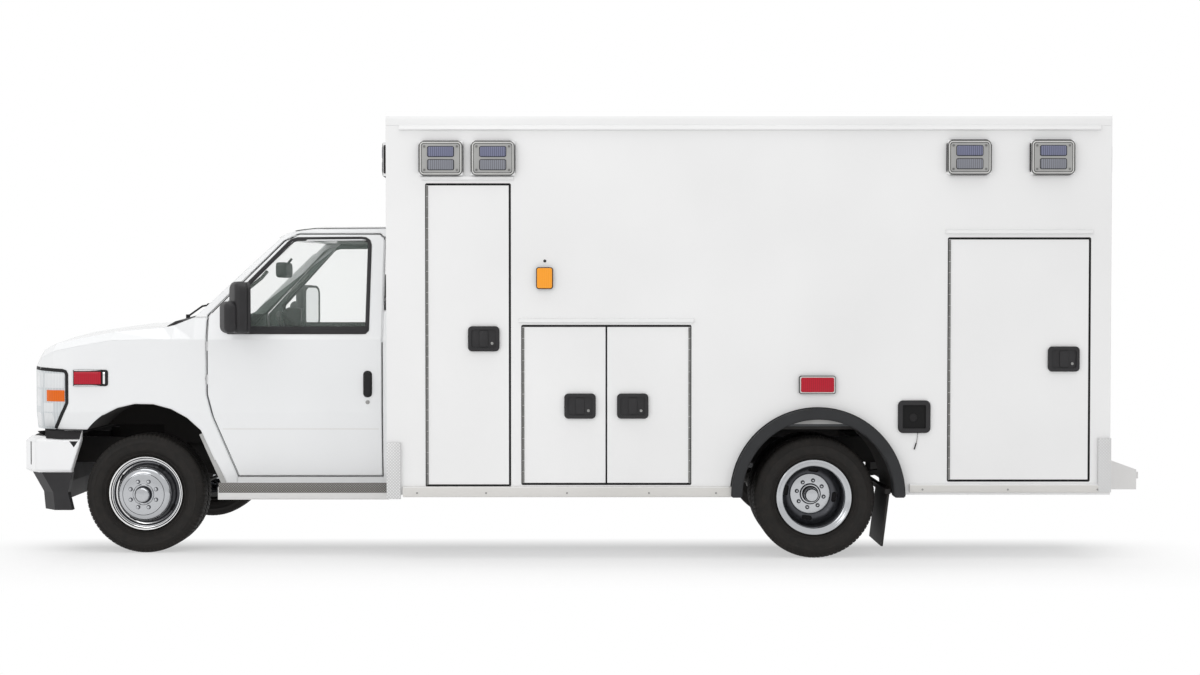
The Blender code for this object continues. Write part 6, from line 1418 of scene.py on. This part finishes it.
# wipers and cowl at the foot of the windscreen
wiperSizes = {"arm": 0.0060, "blade": 0.0075, "lift": 0.030, "rise": 0.026}
glassSkin = ("windscreen", "cab_shell", "hood", "front_clip")
pieces = []
for start, middle, end in (((-2.440, -0.52), (-2.330, -0.30), (-2.345, 0.10)),
                           ((-2.455, 0.20), (-2.345, 0.42), (-2.330, 0.78))):
    spots = [Vector((x, y, surfaceZ(x, y, glassSkin) + wiperSizes["lift"]))
             for x, y in (start, middle, end)]
    pieces.append(rod("pivot", spots[0] - Vector((0, 0, 0.02)), spots[0] + Vector((0, 0, 0.012)),
                      0.013, 20, 0.002))
    knee = (spots[0] + spots[1]) / 2 + Vector((0.010, 0, wiperSizes["rise"]))
    pieces.append(rod("arm", spots[0], knee, wiperSizes["arm"], 10))
    pieces.append(rod("arm", knee, spots[1], wiperSizes["arm"], 10))
    pieces.append(rod("blade", spots[1] - (spots[2] - spots[1]) * 0.45, spots[2],
                      wiperSizes["blade"], 10))
place(joined("wipers", pieces), "wipers", softBlack)
cowlSizes = {"rows": ((-2.500, 0.0040), (-2.450, 0.0220), (-2.405, 0.0150)),
             "places": (-0.8, -0.6, -0.4, -0.2, 0.0, 0.2, 0.4, 0.6, 0.8), "sink": 0.006}
points = [(x, y, surfaceZ(x, y, glassSkin) + (crown if top else -cowlSizes["sink"]))
          for top in (True, False) for x, crown in cowlSizes["rows"]
          for y in cowlSizes["places"]]
faces = gridFaces(len(cowlSizes["rows"]), len(cowlSizes["places"]))
place(outwards(fromData("cowl", points, faces)), "cowl_panel", blackTrim)
print("wipers and cowl built")


# cab seats: each cushion is a crowned closed form with seams, in woven cloth
seatSizes = {"middle": 0.45, "cuts": 22, "pull": 0.34, "channel": 0.010, "channelAt": 0.60,
             "channelWidth": 0.055, "piping": 0.0042}


def pad(name, low, high, crownAxis, body=root, pull=None, channel=True):
    # a stuffed form: its corners pulled in, its face crowned, with two sewn channels
    obj = cube(name, low, high)
    activate(obj)
    bpy.ops.object.mode_set(mode="EDIT")
    bpy.ops.mesh.select_all(action="SELECT")
    bpy.ops.mesh.subdivide(number_cuts=seatSizes["cuts"])
    bpy.ops.object.mode_set(mode="OBJECT")
    middle = [(a + b) / 2 for a, b in zip(low, high)]
    half = [(b - a) / 2 for a, b in zip(low, high)]
    amount = seatSizes["pull"] if pull is None else pull
    for vertex in obj.data.vertices:
        u = [(vertex.co[k] - middle[k]) / half[k] for k in range(3)]
        new = []
        for k in range(3):
            a, b = u[(k + 1) % 3] ** 2, u[(k + 2) % 3] ** 2
            ball = math.sqrt(max(0, 1 - a / 2 - b / 2 + a * b / 3))
            new.append(u[k] * (1 - amount + amount * ball))
        if channel:
            across = abs(u[1]) - seatSizes["channelAt"]
            dip = math.exp(-(across / seatSizes["channelWidth"]) ** 2)
            new[crownAxis] -= (math.copysign(1, u[crownAxis]) * dip * seatSizes["channel"]
                               / half[crownAxis]) * abs(u[crownAxis])
        vertex.co = [middle[k] + half[k] * new[k] for k in range(3)]
    obj.data.update()
    place(obj, name, seatCloth, body, "seat_cloth", 80)
    return obj


def pipingRound(name, low, high, level, axis, inwards):
    # a sewn piping cord round a cushion's edge
    k, m = [i for i in range(3) if i != axis]
    outline = rounded((low[k] + inwards, low[m] + inwards),
                      (high[k] - inwards, high[m] - inwards), 0.05, 6)
    pieces = []
    for i, spot in enumerate(outline):
        a, b = [0, 0, 0], [0, 0, 0]
        a[k], a[m], a[axis] = spot[0], spot[1], level
        nextSpot = outline[(i + 1) % len(outline)]
        b[k], b[m], b[axis] = nextSpot[0], nextSpot[1], level
        pieces.append(rod("cord", a, b, seatSizes["piping"], 8))
    return joined(name, pieces)


for sideName, side in sides:
    y = side * seatSizes["middle"]
    cushion = ((-1.655, y - 0.235, 0.900), (-1.190, y + 0.235, 1.035))
    back = ((-1.275, y - 0.230, 1.000), (-1.150, y + 0.230, 1.520))
    base = cube("base", (-1.600, y - 0.19, 0.7205), (-1.190, y + 0.19, 0.885), 0.012)
    rails = [cube("rail", (-1.640, y + s * 0.17 - 0.02, 0.885), (-1.180, y + s * 0.17 + 0.02,
                  0.905), 0.004) for s in (left, right)]
    hingePlates = [cube("plate", (-1.250, y + s * 0.225 - 0.008, 0.900),
                        (-1.150, y + s * 0.225 + 0.008, 1.060), 0.006) for s in (left, right)]
    posts = [rod("post", (-1.212, y + s * 0.06, 1.480), (-1.205, y + s * 0.06, 1.570), 0.007, 14)
             for s in (left, right)]
    place(joined("base", [base] + rails + hingePlates + posts), "seat_base_" + sideName,
          cabinDark, root, "grey_trim", 35, ("seat_" + sideName,))
    pad("seat_cushion_" + sideName, *cushion, 2)
    pad("seat_back_" + sideName, *back, 0)
    pad("seat_head_" + sideName, (-1.262, y - 0.125, 1.540), (-1.158, y + 0.125, 1.690), 0,
        pull=0.5, channel=False)
    cords = [pipingRound("cord", *cushion, 0.968, 2, 0.002),
             pipingRound("cord", *back, -1.2125, 0, 0.002)]
    place(joined("cords", cords), "seat_piping_" + sideName, cabinDark)
print("seats built")

# inside the cab: rear-view mirror and grab handles; outside, the running boards' edges
cabinSizes = {"handle": 0.011}
mirrorCase = prism("case", rounded((-0.125, 1.675), (0.125, 1.775), 0.030, 6), -1.965, -1.895,
                   "X", 0.016, 3)
stalk = rod("stalk", (-1.925, 0, 1.745), (-1.880, 0, 1.800), 0.008, 14)
place(joined("mirror", [mirrorCase, stalk]), "rear_view_mirror", cabinDark)
for sideName, side in sides:
    ends = [(-2.060, side * 0.800, 1.540), (-2.035, side * 0.775, 1.575),
            (-1.930, side * 0.745, 1.665), (-1.895, side * 0.750, 1.705)]
    grips = [rod("grip", ends[i], ends[i + 1], cabinSizes["handle"], 14) for i in range(3)]
    place(joined("grip", grips), "grab_handle_" + sideName, cabinGrey)
    fascia = cube("fascia", (-2.120, side * 1.1000, 0.343), (-1.108, side * 1.1035, 0.408), 0.0015)
    place(fascia, "board_fascia_" + sideName, foldedPlate)
    plate = cube("plate", (-2.122, side * 1.1010, 0.3780), (-1.110, side * 1.1050, 0.4380), 0.001)
    place(plate, "board_plate_" + sideName, boardPlate)
print("cabin built")


# floor, backdrop, lights and camera
stageSizes = {"floor": 60.0, "shadowShare": 0.5, "worldLevel": 0.86, "floorColour": "F2F2F2",
              "shadowNear": (-2.3, -1.5), "shadowFar": (-0.75, -0.35), "shadowEnds": (3.0, 3.9)}

deselect()
bpy.ops.mesh.primitive_plane_add(size=stageSizes["floor"], location=(0, 0, 0))
floor = bpy.context.object
floor.name = "studio_floor"
floorMat, floorTree, floorShader = startMaterial("floor_sweep", stageSizes["floorColour"], 0.9)
rays = addNode(floorTree, "ShaderNodeLightPath").outputs
white = addNode(floorTree, "ShaderNodeEmission", Strength=1.0)
white.inputs["Color"].default_value = (1, 1, 1, 1)
seen = calc(floorTree, "MAXIMUM", calc(floorTree, "MAXIMUM", rays["Is Camera Ray"],
                                       rays["Is Glossy Ray"]), rays["Is Transmission Ray"])
# the shadow shows only in a strip under the near side, and fades out around it
coords = addNode(floorTree, "ShaderNodeTexCoord")
spot = addNode(floorTree, "ShaderNodeSeparateXYZ", [(coords.outputs["Object"], "Vector")]).outputs
shade = product(floorTree, remap(floorTree, spot["Y"], *stageSizes["shadowNear"], 0, 1),
                remap(floorTree, spot["Y"], *stageSizes["shadowFar"], 1, 0),
                remap(floorTree, calc(floorTree, "ABSOLUTE", spot["X"]),
                      *stageSizes["shadowEnds"], 1, 0), stageSizes["shadowShare"])
share = product(floorTree, seen, calc(floorTree, "SUBTRACT", 1, shade))
mixer = addNode(floorTree, "ShaderNodeMixShader",
                [(share, 0), (floorShader.outputs[0], 1), (white.outputs[0], 2)])
floorTree.links.new(mixer.outputs[0], floorTree.nodes["Material Output"].inputs["Surface"])
floor.data.materials.append(floorMat)

world = bpy.data.worlds.new("studio")
bpy.context.scene.world = world
world.use_nodes = True
skyTree = world.node_tree
sky = skyTree.nodes["Background"]
sky.inputs["Color"].default_value = (1, 1, 1, 1)
sky.inputs["Strength"].default_value = stageSizes["worldLevel"]
plain = addNode(skyTree, "ShaderNodeBackground")
plain.inputs["Color"].default_value = (1, 1, 1, 1)
plain.inputs["Strength"].default_value = 1.0
rays = addNode(skyTree, "ShaderNodeLightPath").outputs
seen = calc(skyTree, "MAXIMUM", rays["Is Camera Ray"], rays["Is Transmission Ray"])
mixer = addNode(skyTree, "ShaderNodeMixShader",
                [(seen, 0), (sky.outputs[0], 1), (plain.outputs[0], 2)])
skyTree.links.new(mixer.outputs[0], skyTree.nodes["World Output"].inputs["Surface"])


def softbox(name, spot, target, width, height, power):
    lamp = bpy.data.lights.new(name, "AREA")
    lamp.shape = "RECTANGLE"
    lamp.size = width
    lamp.size_y = height
    lamp.energy = power
    obj = bpy.data.objects.new(name, lamp)
    obj.location = spot
    obj.rotation_euler = (Vector(target) - Vector(spot)).to_track_quat("-Z", "Y").to_euler()
    bpy.context.scene.collection.objects.link(obj)


softbox("overhead_softbox", (0, -1.0, 7.5), (0, 0, 0), 11, 5, 190)
softbox("front_softbox", (-5.5, -8.5, 5.0), (-1, 0, 1.0), 5, 4, 90)

cameraData = bpy.data.cameras.new("photo_camera")
cameraData.lens = 51.0
cameraData.sensor_width = 36.0
cameraData.clip_end = 200
camera = bpy.data.objects.new("photo_camera", cameraData)
camera.location = (0.1525, -11.22, 1.527)
camera.rotation_euler = (math.radians(90 - 1.26), 0, 0)
bpy.context.scene.collection.objects.link(camera)
bpy.context.scene.camera = camera
bpy.context.scene.view_settings.view_transform = "Standard"
print("stage, lights and camera set")

bpy.context.view_layer.update()
